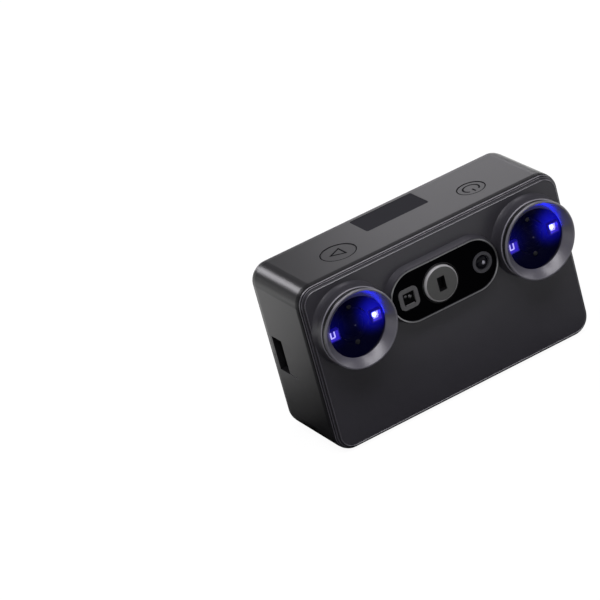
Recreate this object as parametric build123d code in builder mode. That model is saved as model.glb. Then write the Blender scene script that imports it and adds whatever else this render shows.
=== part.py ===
"""A palm-sized hand-held scanner: two ringed cameras and a sensor window in front, a touch screen behind.

The body stands on its base with +Z up, its front looks along -Y, and +X is on the right seen from the front.
The origin is under the middle of the whole object, on the face that it rests on. Lengths are in millimetres.
Depths are counted from the front rim of the body towards the back, and rises from the same rim forwards.
The width follows from the row of cameras and sensors, the height from the battery, the bench and the buttons
above it, and the depth from the battery and the boards behind it.
"""
from build123d import *
import math
import os

# Gaps that the whole object shares
seam = 0.25
assembly_gap = 0.2
slip = 0.05
pin_fit = 0.03
overrun = 1.0

# Case: a rounded tube with a step inside each rim, where a cover is seated
wall = 2.4
corner_radius = 7.4
edge_run = 3.0
edge_drop = 0.25
bead_run = 1.4
bead_drop = 0.45
cover_rise = 1.05
cover_inset = 1.3
cover_groove = 0.35
cover_seat = 1.6
cover_edge = 0.4

# Screws that hold the boards, the bench and the covers
screw_radius = 0.8
screw_head_radius = 1.6
screw_head_height = 1.3
screw_length = 5.0
screw_drive_radius = 0.6
screw_drive_depth = 0.6
screw_hole_gap = 0.15

# Camera: a sensor block with a lens tube, and its front element
camera_barrel_radius = 6.2
camera_block_size = 17.0
camera_block_depth = 4.0
camera_lens_rim = 1.6
camera_lens_seat = 0.9
camera_lens_bulge = 0.7
camera_glass_gap = 1.8

# Lamp board round the lens tube, with a cupped lamp on each side
led_board_thickness = 1.0
led_board_gap = 0.4
led_edge_gap = 0.4
led_size = 4.6
led_height = 1.8
led_cup_rim = 0.7
led_cup_depth = 1.3
led_chip_size = 1.8
led_chip_height = 0.5
led_glass_gap = 0.2

# Cover glass, bezel ring and barrel, from the inside out
lens_glass_thickness = 1.1
lens_glass_margin = 0.8
bezel_spigot_wall = 0.85
bezel_spigot = 1.65
bezel_spigot_drop = 0.2
bezel_glass_lap = 0.55
bezel_mouth_edge = 0.2
bezel_cone_depth = 3.3
bezel_lip = 1.35
bezel_chamfer = 0.35
bezel_face = 0.4
bezel_neck_step = 1.0
bezel_ridge_height = 0.65
bezel_ridge = 0.3
bezel_overhang = 0.07
barrel_wall = 2.11
barrel_foot = 0.84
barrel_foot_rise = 2.6
barrel_edge = 0.3
barrel_shoulder = 1.15
barrel_shoulder_rise = 2.4
barrel_side_margin = 1.5

# Sensor window: a pill-shaped boss with a frame, a black panel and three modules in a row
window_rise = 4.85
window_frame_width = 0.8
window_frame_height = 0.65
window_foot = 0.9
window_ledge = 1.3
window_side_gap = 1.3
window_left_margin = 3.7
window_right_margin = 2.75
window_lens_gap = 0.84
depth_projector_gap = 2.75
projector_colour_gap = 7.6
panel_thickness = 1.2
panel_sink = 0.45
panel_hole_gap = 0.15
projector_radius = 7.15
projector_proud = 1.1
projector_ring_height = 3.5
projector_edge = 0.5
projector_slot_width = 3.3
projector_slot_height = 5.8
projector_block_margin = 0.15
colour_camera_radius = 4.15
colour_camera_proud = 0.3
colour_camera_rim = 1.1
colour_camera_recess = 0.9
colour_lens_gap = 0.45
colour_lens_thickness = 0.6
depth_module_size = 8.4
depth_module_corner = 2.2
depth_module_proud = 0.2
depth_module_rim = 1.7
depth_module_eye_corner = 0.9
depth_module_recess = 0.8
module_block_margin = 1.3
module_block_depth = 4.0

# Optical bench: the plate behind the front cover that every camera is fixed to
bench_post_length = 7.4
bench_post_radius = 2.2
bench_post_gap = 1.6
bench_post_edge = 1.8
bench_thickness = 2.5
bench_height = 24.6
bench_corner = 3.0
bench_side_gap = 8.0
bench_window_radius = 4.5
bench_clearance = 1.5

# Battery and the cradle that it slides into
battery_length = 43.0
battery_thickness = 17.0
battery_height = 30.0
battery_edge = 1.5
battery_gap = 0.3
battery_proud = 1.8
cradle_wall = 1.2
cradle_mouth_gap = 0.2
contact_width = 1.6
contact_height = 5.0
contact_spacing = 4.0

# Chassis, main board, heat spreader and flat cables
chassis_post_length = 3.1
chassis_post_radius = 2.0
chassis_thickness = 1.5
chassis_corner = 4.0
chassis_lug_gap = 1.5
chassis_top_gap = 5.4
chassis_insert_gap = 0.4
chassis_side_gap = 10.0
board_gap = 0.35
board_standoff = 3.4
board_thickness = 1.2
board_edge_gap = 0.5
board_left_gap = 2.0
board_port_gap = 0.6
board_corner = 2.0
board_post_inset = 5.0
chip_size = 15.0
chip_height = 2.0
chip_spacing = 22.0
spreader_height = 18.0
spreader_thickness = 1.0
spreader_gap = 6.1
spreader_side_gap = 1.0
spreader_flex_gap = 0.7
flex_width = 9.0
flex_thickness = 0.3

# Screen on the back
glass_top_border = 6.0
glass_bottom_border = 9.8
glass_corner = 3.0
glass_thickness = 1.1
glass_sink = 0.1
glass_ledge = 2.0
display_thickness = 2.4
display_post_gap = 0.8

# Push buttons and the status window on the top
button_spacing = 60.0
button_depth = 15.3
scan_button_radius = 6.9
power_button_radius = 5.45
button_travel = 0.6
button_flange = 1.1
button_flange_height = 1.3
button_sink = 0.1
button_edge = 0.2
switch_size = 5.0
switch_height = 1.6
switch_clearance = 0.1
button_board_end = 9.0
button_board_width = 11.0
button_board_thickness = 1.0
button_board_gap = 0.6
button_board_post_radius = 1.8
button_board_post_gap = 12.0
status_width = 28.0
status_depth = 13.9
status_rear_gap = 3.05
status_thickness = 1.0
status_sink = 0.05
status_ledge = 1.6
status_corner = 0.8
status_display_thickness = 1.6

# Battery door on the right side, which wraps round the bottom corner
door_front_lap = 1.45
door_rear_lap = 0.45
door_top_lap = 2.8
battery_door_wall = 1.8
battery_knuckle_radius = 1.4
battery_knuckle_sink = 0.1
battery_hinge_tilt = 27.0
battery_hinge_slit = 0.35
battery_pin_radius = 0.75
door_pin_seat = 1.4

# Slide latches, one in each door
latch_plate_thickness = 0.9
latch_plate_margin = 1.2
latch_gap = 0.1
latch_rail = 0.8
latch_lip = 0.8
latch_bar_gap = 0.3
latch_bar_sink = 0.2
latch_bar_round = 0.65
battery_latch_depth = 12.3
battery_latch_drop = 9.25
battery_latch_width = 8.2
battery_latch_height = 7.5
battery_latch_bar = 2.4
battery_latch_travel = 2.2
battery_latch_corner = 0.7
port_latch_width = 6.9
port_latch_height = 4.0
port_latch_bar = 1.5
port_latch_travel = 1.0
port_latch_corner = 1.4

# Port cover on the right side, above the battery door
port_front = 3.3
port_board_gap = 0.4
port_rear_margin = 0.3
port_door_gap = 5.35
port_top_gap = 1.1
port_cover_wall = 1.8
port_hinge_gap = 0.4
port_pin_radius = 0.5
port_pin_seat = 1.2
reset_hole_gap = 4.0
reset_hole_drop = 1.25
reset_hole_radius = 0.6
reset_hole_length = 1.5

# Port frame and the two sockets behind the port cover
port_frame_margin = 1.0
port_frame_thickness = 1.8
port_board_thickness = 0.8
port_board_length = 14.0
port_board_height = 13.0
usb_latch_gap = 0.8
usb_length = 8.9
usb_thickness = 3.2
usb_reach = 7.4
usb_shell = 0.35
usb_tongue = 0.7
usb_back = 1.0
card_length = 12.0
card_thickness = 1.7
card_reach = 9.5
card_slot = 0.8
card_slot_side = 0.5

# Side recess on the left with its charging socket
recess_ramp = 6.0
recess_mouth = 8.2
recess_height = 14.4
recess_drop = 0.35
recess_floor = 5.4
recess_insert_wall = 0.8
recess_insert_back = 1.2

# Strap bar on the rear left edge, and the lanyard slot in the bottom left corner
strap_length = 27.9
strap_top_gap = 8.9
strap_bar_radius = 0.7
strap_bar_inset = 1.1
strap_bar_gap = 0.3
strap_cover_gap = 0.1
strap_slot_inset = 3.6
strap_pad_wall = 0.6
strap_bar_seat = 1.0
lanyard_front = 10.2
lanyard_length = 9.0
lanyard_slot_width = 3.2
lanyard_slot_height = 3.8
lanyard_slot_inset = 2.6
lanyard_pin_radius = 0.7
lanyard_pin_height = 2.0
lanyard_pad_wall = 1.4

# Base: tripod bush, screws and the three inlays
tripod_depth = 13.3
tripod_bore_radius = 3.2
tripod_bore_length = 7.5
tripod_bush_wall = 1.0
tripod_bush_roof = 1.5
tripod_flange = 0.55
tripod_flange_sink = 0.15
tripod_ring = 2.05
tripod_recess = 1.3
tripod_boss_wall = 2.4
tripod_cradle_gap = 0.55
base_screw_corner_gap = 2.1
base_screw_inset = 3.3
base_screw_sink = 0.2
lug_width = 4.4
lug_height = 4.6
lug_depth = 2.9
inlay_thickness = 0.8
inlay_sink = 0.1
inlay_corner = 0.8
inlay_front = 5.4
inlay_rear_gap = 7.0
base_plate_screw_gap = 2.5
service_corner_gap = 0.5
service_width = 14.2
service_length = 19.5
service_label_gap = 3.1
label_width = 15.0
label_plate_gap = 2.5
label_split = 7.6
label_frame = 0.9
label_panel_sink = 0.2

# Rings of each camera, from the lens tube outwards
camera_lens_radius = camera_barrel_radius - camera_lens_rim
led_board_bore_radius = camera_barrel_radius + led_board_gap
led_offset = led_board_bore_radius + led_edge_gap + led_size / 2
lens_glass_radius = led_offset + led_size / 2 + lens_glass_margin
spigot_bore_radius = lens_glass_radius + slip
spigot_radius = spigot_bore_radius + bezel_spigot_wall
bezel_mouth_radius = lens_glass_radius - bezel_glass_lap
bezel_neck_radius = spigot_radius + bezel_neck_step
bezel_ridge_radius = bezel_neck_radius + bezel_ridge_height
barrel_bore_radius = spigot_radius + slip
barrel_shoulder_radius = barrel_bore_radius - barrel_shoulder
barrel_radius = barrel_bore_radius + barrel_wall
barrel_foot_radius = barrel_radius + barrel_foot
bezel_radius = barrel_radius + bezel_overhang

# Rises of each camera, from the shoulder of the barrel forwards
led_face_rise = barrel_shoulder_rise + led_board_thickness
glass_back_rise = led_face_rise + led_height + led_glass_gap
glass_face_rise = glass_back_rise + lens_glass_thickness
camera_barrel_rise = glass_back_rise - camera_glass_gap
spigot_foot_rise = glass_back_rise - bezel_spigot_drop
barrel_rise = spigot_foot_rise + bezel_spigot
bezel_tip = glass_face_rise + bezel_mouth_edge + bezel_cone_depth

# Row of sensors across the front, and the width that follows from it
window_length = (window_left_margin + depth_module_size + depth_projector_gap + 2 * projector_radius
                 + projector_colour_gap + 2 * colour_camera_radius + window_right_margin)
depth_module_x = -window_length / 2 + window_left_margin + depth_module_size / 2
projector_x = depth_module_x + depth_module_size / 2 + depth_projector_gap + projector_radius
colour_camera_x = projector_x + projector_radius + projector_colour_gap + colour_camera_radius
projector_block_size = 2 * (projector_radius + projector_block_margin)
module_block_size = depth_module_size + 2 * module_block_margin
window_width = projector_block_size + 2 * (window_side_gap + window_ledge + window_frame_width)
boss_rise = window_rise - window_frame_height
panel_face_rise = window_rise - panel_sink
panel_back_rise = panel_face_rise - panel_thickness
lens_axis_x = window_length / 2 + window_lens_gap + barrel_radius
lens_spacing = 2 * lens_axis_x
lens_places = {"left": -lens_axis_x, "right": lens_axis_x}
side_x = lens_axis_x + barrel_foot_radius + barrel_side_margin
body_width = 2 * side_x
inner_x = side_x - wall
corner_x = side_x - corner_radius

# Heights, from the base up to the buttons
battery_low = wall + cradle_wall + battery_gap
cradle_top = battery_low + battery_height + battery_gap + cradle_wall
bench_low = cradle_top + bench_clearance
lens_height = bench_low + bench_height / 2
button_board_top = bench_low + bench_height + button_board_gap + button_board_thickness
switch_top = button_board_top + switch_height
button_floor = switch_top + switch_clearance + button_travel
top_inside = button_floor + button_flange_height + assembly_gap
body_height = top_inside + wall
chassis_low = wall + lug_height + chassis_lug_gap
chassis_high = top_inside - chassis_top_gap
chassis_height = chassis_high - chassis_low
chip_z = lens_height - flex_width / 2 - spreader_flex_gap - spreader_height / 2
chassis_middle_height = (chassis_low + chassis_high) / 2
board_height = chassis_height - 2 * board_edge_gap
glass_height = body_height - glass_top_border - glass_bottom_border
glass_z = glass_bottom_border + glass_height / 2
battery_door_top = cradle_top + door_top_lap
battery_latch_z = battery_door_top - battery_latch_drop
port_low = battery_door_top + port_door_gap
port_high = body_height - corner_radius - port_top_gap
port_middle = (port_low + port_high) / 2
recess_middle = body_height / 2 - recess_drop
recess_low = recess_middle - recess_height / 2
recess_high = recess_middle + recess_height / 2
strap_high = body_height - strap_top_gap
strap_low = strap_high - strap_length

# Depths, from the front rim back to the rear rim
bench_front = cover_seat + bench_post_length
bench_back = bench_front + bench_thickness
cradle_front = base_screw_inset + lug_depth / 2
battery_front = cradle_front + cradle_wall + battery_gap
cradle_rear = battery_front + battery_thickness + battery_gap + cradle_wall
board_front = cradle_rear + board_gap + screw_head_height
board_back = board_front + board_thickness
chassis_front = board_back + board_standoff
chassis_back = chassis_front + chassis_thickness
body_depth = chassis_back + chassis_post_length + cover_seat
glass_back = body_depth + cover_rise - glass_sink - glass_thickness
lens_reach = bezel_tip
front_y = (lens_reach - body_depth - cover_rise) / 2
battery_door_front = cradle_front - door_front_lap
battery_door_rear = cradle_rear + door_rear_lap
latch_side = latch_plate_margin + latch_gap + latch_rail
port_rear = board_front - port_board_gap
card_depth = port_rear - port_rear_margin - card_thickness / 2
port_board_depth = card_depth - card_thickness / 2 - port_board_thickness
usb_depth = port_board_depth - usb_thickness / 2
port_latch_depth = port_board_depth - usb_thickness - usb_latch_gap - latch_side - port_latch_width / 2
status_place = body_depth - status_rear_gap - status_depth / 2
strap_bar_depth = body_depth - cover_seat - strap_cover_gap - strap_bar_radius
strap_front = strap_bar_depth - strap_bar_radius - strap_bar_gap
strap_pad_front = strap_front - strap_pad_wall
insert_rear = strap_pad_front - assembly_gap
recess_rear = insert_rear - recess_insert_wall
recess_ramp_end = recess_rear - recess_mouth
recess_front = recess_ramp_end - recess_ramp
socket_depth = (recess_ramp_end + recess_rear) / 2
lanyard_rear = lanyard_front + lanyard_length

# Places across the width
bench_length = body_width - 2 * bench_side_gap
bench_post_x = window_length / 2 + bench_post_gap
bench_post_offset = bench_height / 2 - bench_post_edge
flex_x = bench_post_x
hinge_reach = corner_radius - battery_knuckle_radius - battery_knuckle_sink
battery_hinge_x = corner_x + hinge_reach * math.sin(math.radians(battery_hinge_tilt))
battery_hinge_z = corner_radius - hinge_reach * math.cos(math.radians(battery_hinge_tilt))
battery_slit_x = battery_hinge_x - battery_knuckle_radius - battery_hinge_slit
port_knuckle_radius = (wall - port_hinge_gap) / 2
port_hinge_x = side_x - port_knuckle_radius
port_hinge_z = port_low + seam + port_knuckle_radius
port_frame_front_x = inner_x - port_frame_thickness
cradle_mouth_x = corner_x - cradle_mouth_gap
battery_end_x = cradle_mouth_x + battery_proud
battery_start_x = battery_end_x - battery_length
cradle_back_x = battery_start_x - battery_gap - contact_width - cradle_wall
tripod_bush_radius = tripod_bore_radius + tripod_bush_wall
tripod_bush_height = tripod_bore_length + tripod_bush_roof
tripod_flange_radius = tripod_bush_radius + tripod_flange
tripod_recess_radius = tripod_flange_radius + tripod_ring
boss_radius = tripod_bush_radius + tripod_boss_wall
tripod_x = cradle_back_x - tripod_cradle_gap - boss_radius
floor_x = -(side_x - recess_floor)
chassis_left = floor_x + recess_insert_back + chassis_insert_gap
chassis_right = side_x - chassis_side_gap
chassis_width = chassis_right - chassis_left
chassis_x = (chassis_left + chassis_right) / 2
board_left = chassis_left + board_left_gap
board_right = inner_x - card_reach - board_port_gap
board_width = board_right - board_left
board_x = (board_left + board_right) / 2
socket_end = floor_x + usb_reach + assembly_gap
spreader_left = socket_end + spreader_side_gap
spreader_right = cradle_back_x - spreader_gap
chip_x = (spreader_left + spreader_right) / 2
glass_border = 2 * chassis_post_radius + display_post_gap - assembly_gap - glass_ledge
glass_left = chassis_left + glass_border
glass_right = chassis_right - glass_border
glass_width = glass_right - glass_left
glass_x = (glass_left + glass_right) / 2
button_board_length = button_spacing + 2 * button_board_end
button_board_post_x = button_spacing / 2 - button_board_post_gap
strap_bar_x = -(side_x - strap_bar_inset)
lanyard_pin_x = -(side_x - lanyard_slot_inset - lanyard_slot_width / 2)
base_screw_x = corner_x - base_screw_corner_gap
base_plate_rear = body_depth - inlay_rear_gap
base_plate_right = base_screw_x - base_plate_screw_gap
service_left = -corner_x + service_corner_gap
service_right = service_left + service_width
label_left = service_right + service_label_gap
label_right = label_left + label_width
base_plate_left = label_right + label_plate_gap
inlay_places = {
    "base_plate": (base_plate_left, base_plate_right, inlay_front, base_plate_rear),
    "label_plate": (label_left, label_right, inlay_front, base_plate_rear),
    "service_plate": (service_left, service_right, inlay_front, inlay_front + service_length),
}


def y_at(depth):
    """The y of a depth behind the front rim."""
    return front_y + depth


def at_depth(depth):
    """A plane across the body at a depth behind the front rim; it faces forwards."""
    return Plane.XZ.offset(-y_at(depth))


def body_outline(inset):
    """Draws the rounded outline of the body, drawn in by an inset."""
    with Locations((0, body_height / 2)):
        RectangleRounded(body_width - 2 * inset, body_height - 2 * inset, corner_radius - inset)


def block(x_span, y_span, z_span, mode=Mode.ADD):
    """A box between a low and a high place on each axis."""
    spans = (x_span, y_span, z_span)
    middle = tuple((low + high) / 2 for low, high in spans)
    with Locations(middle):
        Box(*(high - low for low, high in spans), mode=mode)


def depth_span(front, rear):
    """The y span between two depths."""
    return y_at(front), y_at(rear)


def rod(x, z, radius, front, rear, mode=Mode.ADD):
    """A round rod along the depth."""
    with Locations((x, y_at((front + rear) / 2), z)):
        Cylinder(radius, rear - front, rotation=(90, 0, 0), mode=mode)


def post(x, y, radius, low, high, mode=Mode.ADD):
    """An upright round post."""
    with Locations((x, y, (low + high) / 2)):
        Cylinder(radius, high - low, mode=mode)


def lens_plane(x):
    """A plane through a lens axis: its first direction is the radius, its second the rise."""
    return Plane(origin=(x, front_y, lens_height), x_dir=(1, 0, 0), z_dir=(0, 0, -1))


def lens_axis(x):
    """The axis of a lens, along the depth."""
    return Axis((x, front_y, lens_height), (0, 1, 0))


def inlay_outline(left, right, front, rear, shrink):
    """Draws the rounded outline of an inlay of the base, drawn in by a shrink."""
    with Locations(((left + right) / 2, y_at((front + rear) / 2))):
        RectangleRounded(right - left - 2 * shrink, rear - front - 2 * shrink, inlay_corner)


def keep(builder, name):
    """Labels a finished piece and writes it to a file of its own."""
    builder.part.label = name
    export_step(builder.part, f"parts/{name}.step")


def window_outline(depth, z, width, height, corner):
    """Draws the rounded window of a slide latch."""
    with Locations((y_at(depth), z)):
        RectangleRounded(width, height, corner)


def latch_rails(inner_face, depth, z, width, height, travel):
    """Adds the two rails that hold a latch plate against the inside of a door."""
    half = width / 2 + latch_plate_margin + latch_gap
    room = 2 * latch_gap + latch_plate_thickness
    z_span = (z - height / 2 - latch_plate_margin - travel, z + height / 2 + latch_plate_margin + travel)
    for way in (-1, 1):
        near = depth + way * half
        far = depth + way * (half + latch_rail)
        lip = depth + way * (half - latch_lip)
        block((inner_face - room, inner_face), depth_span(*sorted((near, far))), z_span)
        block((inner_face - room - latch_lip, inner_face - room), depth_span(*sorted((lip, far))), z_span)


def slide_latch(name, outer_x, door_wall, depth, z, width, height, bar, travel):
    """A thin plate behind a door with a thumb bar that stands in the door's window."""
    half = width / 2 + latch_plate_margin
    plate_x = outer_x - door_wall - latch_gap
    half_bar = width / 2 - latch_bar_gap
    with BuildPart() as latch:
        plate_low = z - height / 2 - latch_plate_margin
        plate_high = z + height / 2 + latch_plate_margin + travel
        block((plate_x - latch_plate_thickness, plate_x), depth_span(depth - half, depth + half),
              (plate_low, plate_high))
        with BuildSketch(Plane.YZ.offset(plate_x)):
            window_outline(depth, z, 2 * half_bar, bar, latch_bar_round)
        extrude(amount=outer_x - latch_bar_sink - plate_x)
    keep(latch, name)


os.makedirs("parts", exist_ok=True)

# Middle shell: the tube of the case with every opening in it
with BuildPart() as mid_shell:
    with BuildSketch(at_depth(0)):
        body_outline(0)
    extrude(amount=-body_depth)
    for end in (0, -1):
        for drop, run in ((edge_drop, edge_run), (bead_drop, bead_run)):
            rim = mid_shell.faces().sort_by(Axis.Y)[end]
            chamfer(rim.outer_wire().edges(), drop, run, reference=rim)
    with BuildSketch(at_depth(0)):
        body_outline(wall)
    extrude(amount=-body_depth, mode=Mode.SUBTRACT)
    for seat_front in (0, body_depth - cover_seat):
        with BuildSketch(at_depth(seat_front)):
            body_outline(cover_inset - cover_groove)
        extrude(amount=-cover_seat, mode=Mode.SUBTRACT)

    # Pads on the inside: tripod boss, button board posts, strap pocket and lanyard pocket
    post(tripod_x, y_at(tripod_depth), boss_radius, wall, tripod_flange_sink + tripod_bush_height)
    for way in (-1, 1):
        post(way * button_board_post_x, y_at(button_depth), button_board_post_radius, button_board_top, top_inside)
    block((-inner_x, -(side_x - strap_slot_inset - strap_pad_wall)),
          depth_span(strap_pad_front, body_depth - cover_seat),
          (strap_low - strap_bar_seat - strap_pad_wall, strap_high + strap_bar_seat + strap_pad_wall))
    block((-inner_x, -(side_x - lanyard_slot_inset - lanyard_slot_width - lanyard_pad_wall)),
          depth_span(lanyard_front - lanyard_pad_wall, lanyard_rear + lanyard_pad_wall),
          (wall, lanyard_slot_height + lanyard_pad_wall))

    # Right side: both door openings, the seats of their hinge pins and the pinhole for resetting
    block((battery_slit_x, side_x + overrun), depth_span(battery_door_front, battery_door_rear),
          (-overrun, battery_door_top), Mode.SUBTRACT)
    rod(battery_hinge_x, battery_hinge_z, battery_pin_radius + pin_fit,
        battery_door_front - door_pin_seat, battery_door_rear + door_pin_seat, Mode.SUBTRACT)
    block((inner_x - overrun, side_x + overrun), depth_span(port_front, port_rear),
          (port_low, port_high), Mode.SUBTRACT)
    rod(port_hinge_x, port_hinge_z, port_pin_radius + pin_fit,
        port_front - port_pin_seat, port_rear + port_pin_seat, Mode.SUBTRACT)

    with BuildSketch(Plane.YZ.offset(side_x)):
        with Locations((y_at(port_rear + reset_hole_gap), port_low - reset_hole_drop)):
            Circle(reset_hole_radius)
    extrude(amount=-reset_hole_length, mode=Mode.SUBTRACT)

    # Left side: the recess, the strap slot and the lanyard slot with its pin seats
    block((-side_x - overrun, -inner_x + overrun), depth_span(recess_front, recess_rear),
          (recess_low, recess_high), Mode.SUBTRACT)
    block((-side_x - overrun, -(side_x - strap_slot_inset)), depth_span(strap_front, body_depth + overrun),
          (strap_low, strap_high), Mode.SUBTRACT)
    post(strap_bar_x, y_at(strap_bar_depth), strap_bar_radius + pin_fit,
         strap_low - strap_bar_seat, strap_high + strap_bar_seat, Mode.SUBTRACT)
    block((-(side_x - lanyard_slot_inset), -(side_x - lanyard_slot_inset - lanyard_slot_width)),
          depth_span(lanyard_front, lanyard_rear), (-overrun, lanyard_slot_height), Mode.SUBTRACT)
    rod(lanyard_pin_x, lanyard_pin_height, lanyard_pin_radius + pin_fit,
        lanyard_front - lanyard_pad_wall / 2, lanyard_rear + lanyard_pad_wall / 2, Mode.SUBTRACT)

    # Top: holes for the buttons, and a stepped opening for the status window
    for way, radius in ((-1, scan_button_radius), (1, power_button_radius)):
        post(way * button_spacing / 2, y_at(button_depth), radius + seam, top_inside - overrun,
             body_height + overrun, Mode.SUBTRACT)
    with BuildSketch(Plane.XY.offset(body_height)):
        with Locations((0, y_at(status_place))):
            RectangleRounded(status_width, status_depth, status_corner)
    extrude(amount=-status_sink - status_thickness, mode=Mode.SUBTRACT)
    block((-status_width / 2 + status_ledge, status_width / 2 - status_ledge),
          depth_span(status_place - status_depth / 2 + status_ledge, status_place + status_depth / 2 - status_ledge),
          (top_inside - overrun, body_height), Mode.SUBTRACT)

    # Base: pockets for the inlays, the tripod bush and the screws
    for inlay_place in inlay_places.values():
        with BuildSketch(Plane.XY):
            inlay_outline(*inlay_place, 0)
        extrude(amount=inlay_thickness + inlay_sink, mode=Mode.SUBTRACT)
    post(tripod_x, y_at(tripod_depth), tripod_recess_radius, -overrun, tripod_recess, Mode.SUBTRACT)
    post(tripod_x, y_at(tripod_depth), tripod_bush_radius + pin_fit, 0,
         tripod_flange_sink + tripod_bush_height + overrun, Mode.SUBTRACT)
    for x in (-base_screw_x, base_screw_x):
        for screw_depth in (base_screw_inset, body_depth - base_screw_inset):
            post(x, y_at(screw_depth), screw_radius + screw_hole_gap, -overrun, wall + overrun, Mode.SUBTRACT)
            post(x, y_at(screw_depth), screw_head_radius + screw_hole_gap, -overrun,
                 base_screw_sink + screw_head_height, Mode.SUBTRACT)
keep(mid_shell, "mid_shell")

# Front cover: a plate with two barrels, the window boss, posts for the bench and lugs for the base screws
with BuildPart() as front_cover:
    with BuildSketch(at_depth(cover_seat)):
        body_outline(cover_inset)
    extrude(amount=cover_seat + cover_rise)
    chamfer(front_cover.faces().sort_by(Axis.Y)[0].outer_wire().edges(), cover_edge)
    for lens_x in lens_places.values():
        with BuildSketch(lens_plane(lens_x)):
            with BuildLine():
                foot = (barrel_foot_radius, cover_rise)
                waist = (barrel_radius, cover_rise + barrel_foot_rise)
                Polyline((0, 0), (barrel_foot_radius, 0), foot)
                RadiusArc(foot, waist, 2 * barrel_foot_rise)
                Polyline(waist, (barrel_radius, barrel_rise - barrel_edge), (barrel_radius - barrel_edge, barrel_rise),
                         (0, barrel_rise), (0, 0))
            make_face()
        revolve(axis=lens_axis(lens_x))
    boss_height = boss_rise - cover_rise
    with BuildSketch(at_depth(-cover_rise)):
        with Locations((0, lens_height)):
            SlotOverall(window_length + 2 * window_foot, window_width + 2 * window_foot)
    extrude(amount=boss_height, taper=math.degrees(math.atan2(window_foot, boss_height)))
    for x in (-bench_post_x, bench_post_x):
        for z in (lens_height - bench_post_offset, lens_height + bench_post_offset):
            rod(x, z, bench_post_radius, cover_seat, bench_front)
            rod(x, z, screw_radius + pin_fit, bench_back - screw_length, bench_front, Mode.SUBTRACT)
    for x in (-base_screw_x, base_screw_x):
        block((x - lug_width / 2, x + lug_width / 2), depth_span(cover_seat, base_screw_inset + lug_depth / 2 - slip),
              (wall, wall + lug_height))
        post(x, y_at(base_screw_inset), screw_radius + pin_fit, wall, base_screw_sink + screw_length, Mode.SUBTRACT)

    # Barrel bores with a shoulder for the lamp board, and the stepped window opening
    for lens_x in lens_places.values():
        rod(lens_x, lens_height, barrel_bore_radius, -barrel_rise - overrun, -barrel_shoulder_rise, Mode.SUBTRACT)
        rod(lens_x, lens_height, barrel_shoulder_radius, -barrel_rise, cover_seat + overrun, Mode.SUBTRACT)
    inner_length = window_length - 2 * window_frame_width
    inner_width = window_width - 2 * window_frame_width
    with BuildSketch(at_depth(-boss_rise)):
        with Locations((0, lens_height)):
            SlotOverall(inner_length, inner_width)
    extrude(amount=panel_back_rise - boss_rise, mode=Mode.SUBTRACT)
    with BuildSketch(at_depth(-boss_rise)):
        with Locations((0, lens_height)):
            SlotOverall(inner_length - 2 * window_ledge, inner_width - 2 * window_ledge)
    extrude(amount=-boss_rise - cover_seat - overrun, mode=Mode.SUBTRACT)
keep(front_cover, "front_cover")

# Rear cover: a plate with the screen opening, posts for the chassis and lugs for the base screws
with BuildPart() as rear_cover:
    with BuildSketch(at_depth(body_depth + cover_rise)):
        body_outline(cover_inset)
    extrude(amount=cover_seat + cover_rise)
    chamfer(rear_cover.faces().sort_by(Axis.Y)[-1].outer_wire().edges(), cover_edge)
    with BuildSketch(at_depth(body_depth + cover_rise)):
        with Locations((glass_x, glass_z)):
            RectangleRounded(glass_width + 2 * slip, glass_height + 2 * slip, glass_corner + slip)
    extrude(amount=glass_sink + glass_thickness, mode=Mode.SUBTRACT)
    with BuildSketch(at_depth(body_depth + cover_rise)):
        with Locations((glass_x, glass_z)):
            Rectangle(glass_width - 2 * glass_ledge, glass_height - 2 * glass_ledge)
    extrude(amount=cover_rise + cover_seat, mode=Mode.SUBTRACT)
    block((-side_x, -(side_x - strap_slot_inset)), depth_span(strap_front, body_depth + cover_rise + overrun),
          (strap_low, strap_high), Mode.SUBTRACT)
    for x in (-base_screw_x, base_screw_x):
        screw_depth = body_depth - base_screw_inset
        block((x - lug_width / 2, x + lug_width / 2), depth_span(screw_depth - lug_depth / 2, body_depth - cover_seat),
              (wall, wall + lug_height))
        post(x, y_at(screw_depth), screw_radius + pin_fit, wall, base_screw_sink + screw_length, Mode.SUBTRACT)
    post_x = chassis_width / 2 - chassis_post_radius
    post_z = chassis_height / 2 - chassis_post_radius
    with BuildSketch(at_depth(chassis_back)):
        with Locations((chassis_x, chassis_middle_height)):
            with GridLocations(2 * post_x, 2 * post_z, 2, 2):
                Circle(chassis_post_radius)
    extrude(amount=-chassis_post_length)
keep(rear_cover, "rear_cover")

# Screen glass and the display bonded behind it
with BuildPart() as screen_glass:
    with BuildSketch(at_depth(glass_back + glass_thickness)):
        with Locations((glass_x, glass_z)):
            RectangleRounded(glass_width, glass_height, glass_corner)
    extrude(amount=glass_thickness)
keep(screen_glass, "screen_glass")

with BuildPart() as display_panel:
    half_width = glass_width / 2 - glass_ledge - assembly_gap
    half_height = glass_height / 2 - glass_ledge - assembly_gap
    block((glass_x - half_width, glass_x + half_width), depth_span(glass_back - display_thickness, glass_back),
          (glass_z - half_height, glass_z + half_height))
keep(display_panel, "display_panel")

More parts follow.
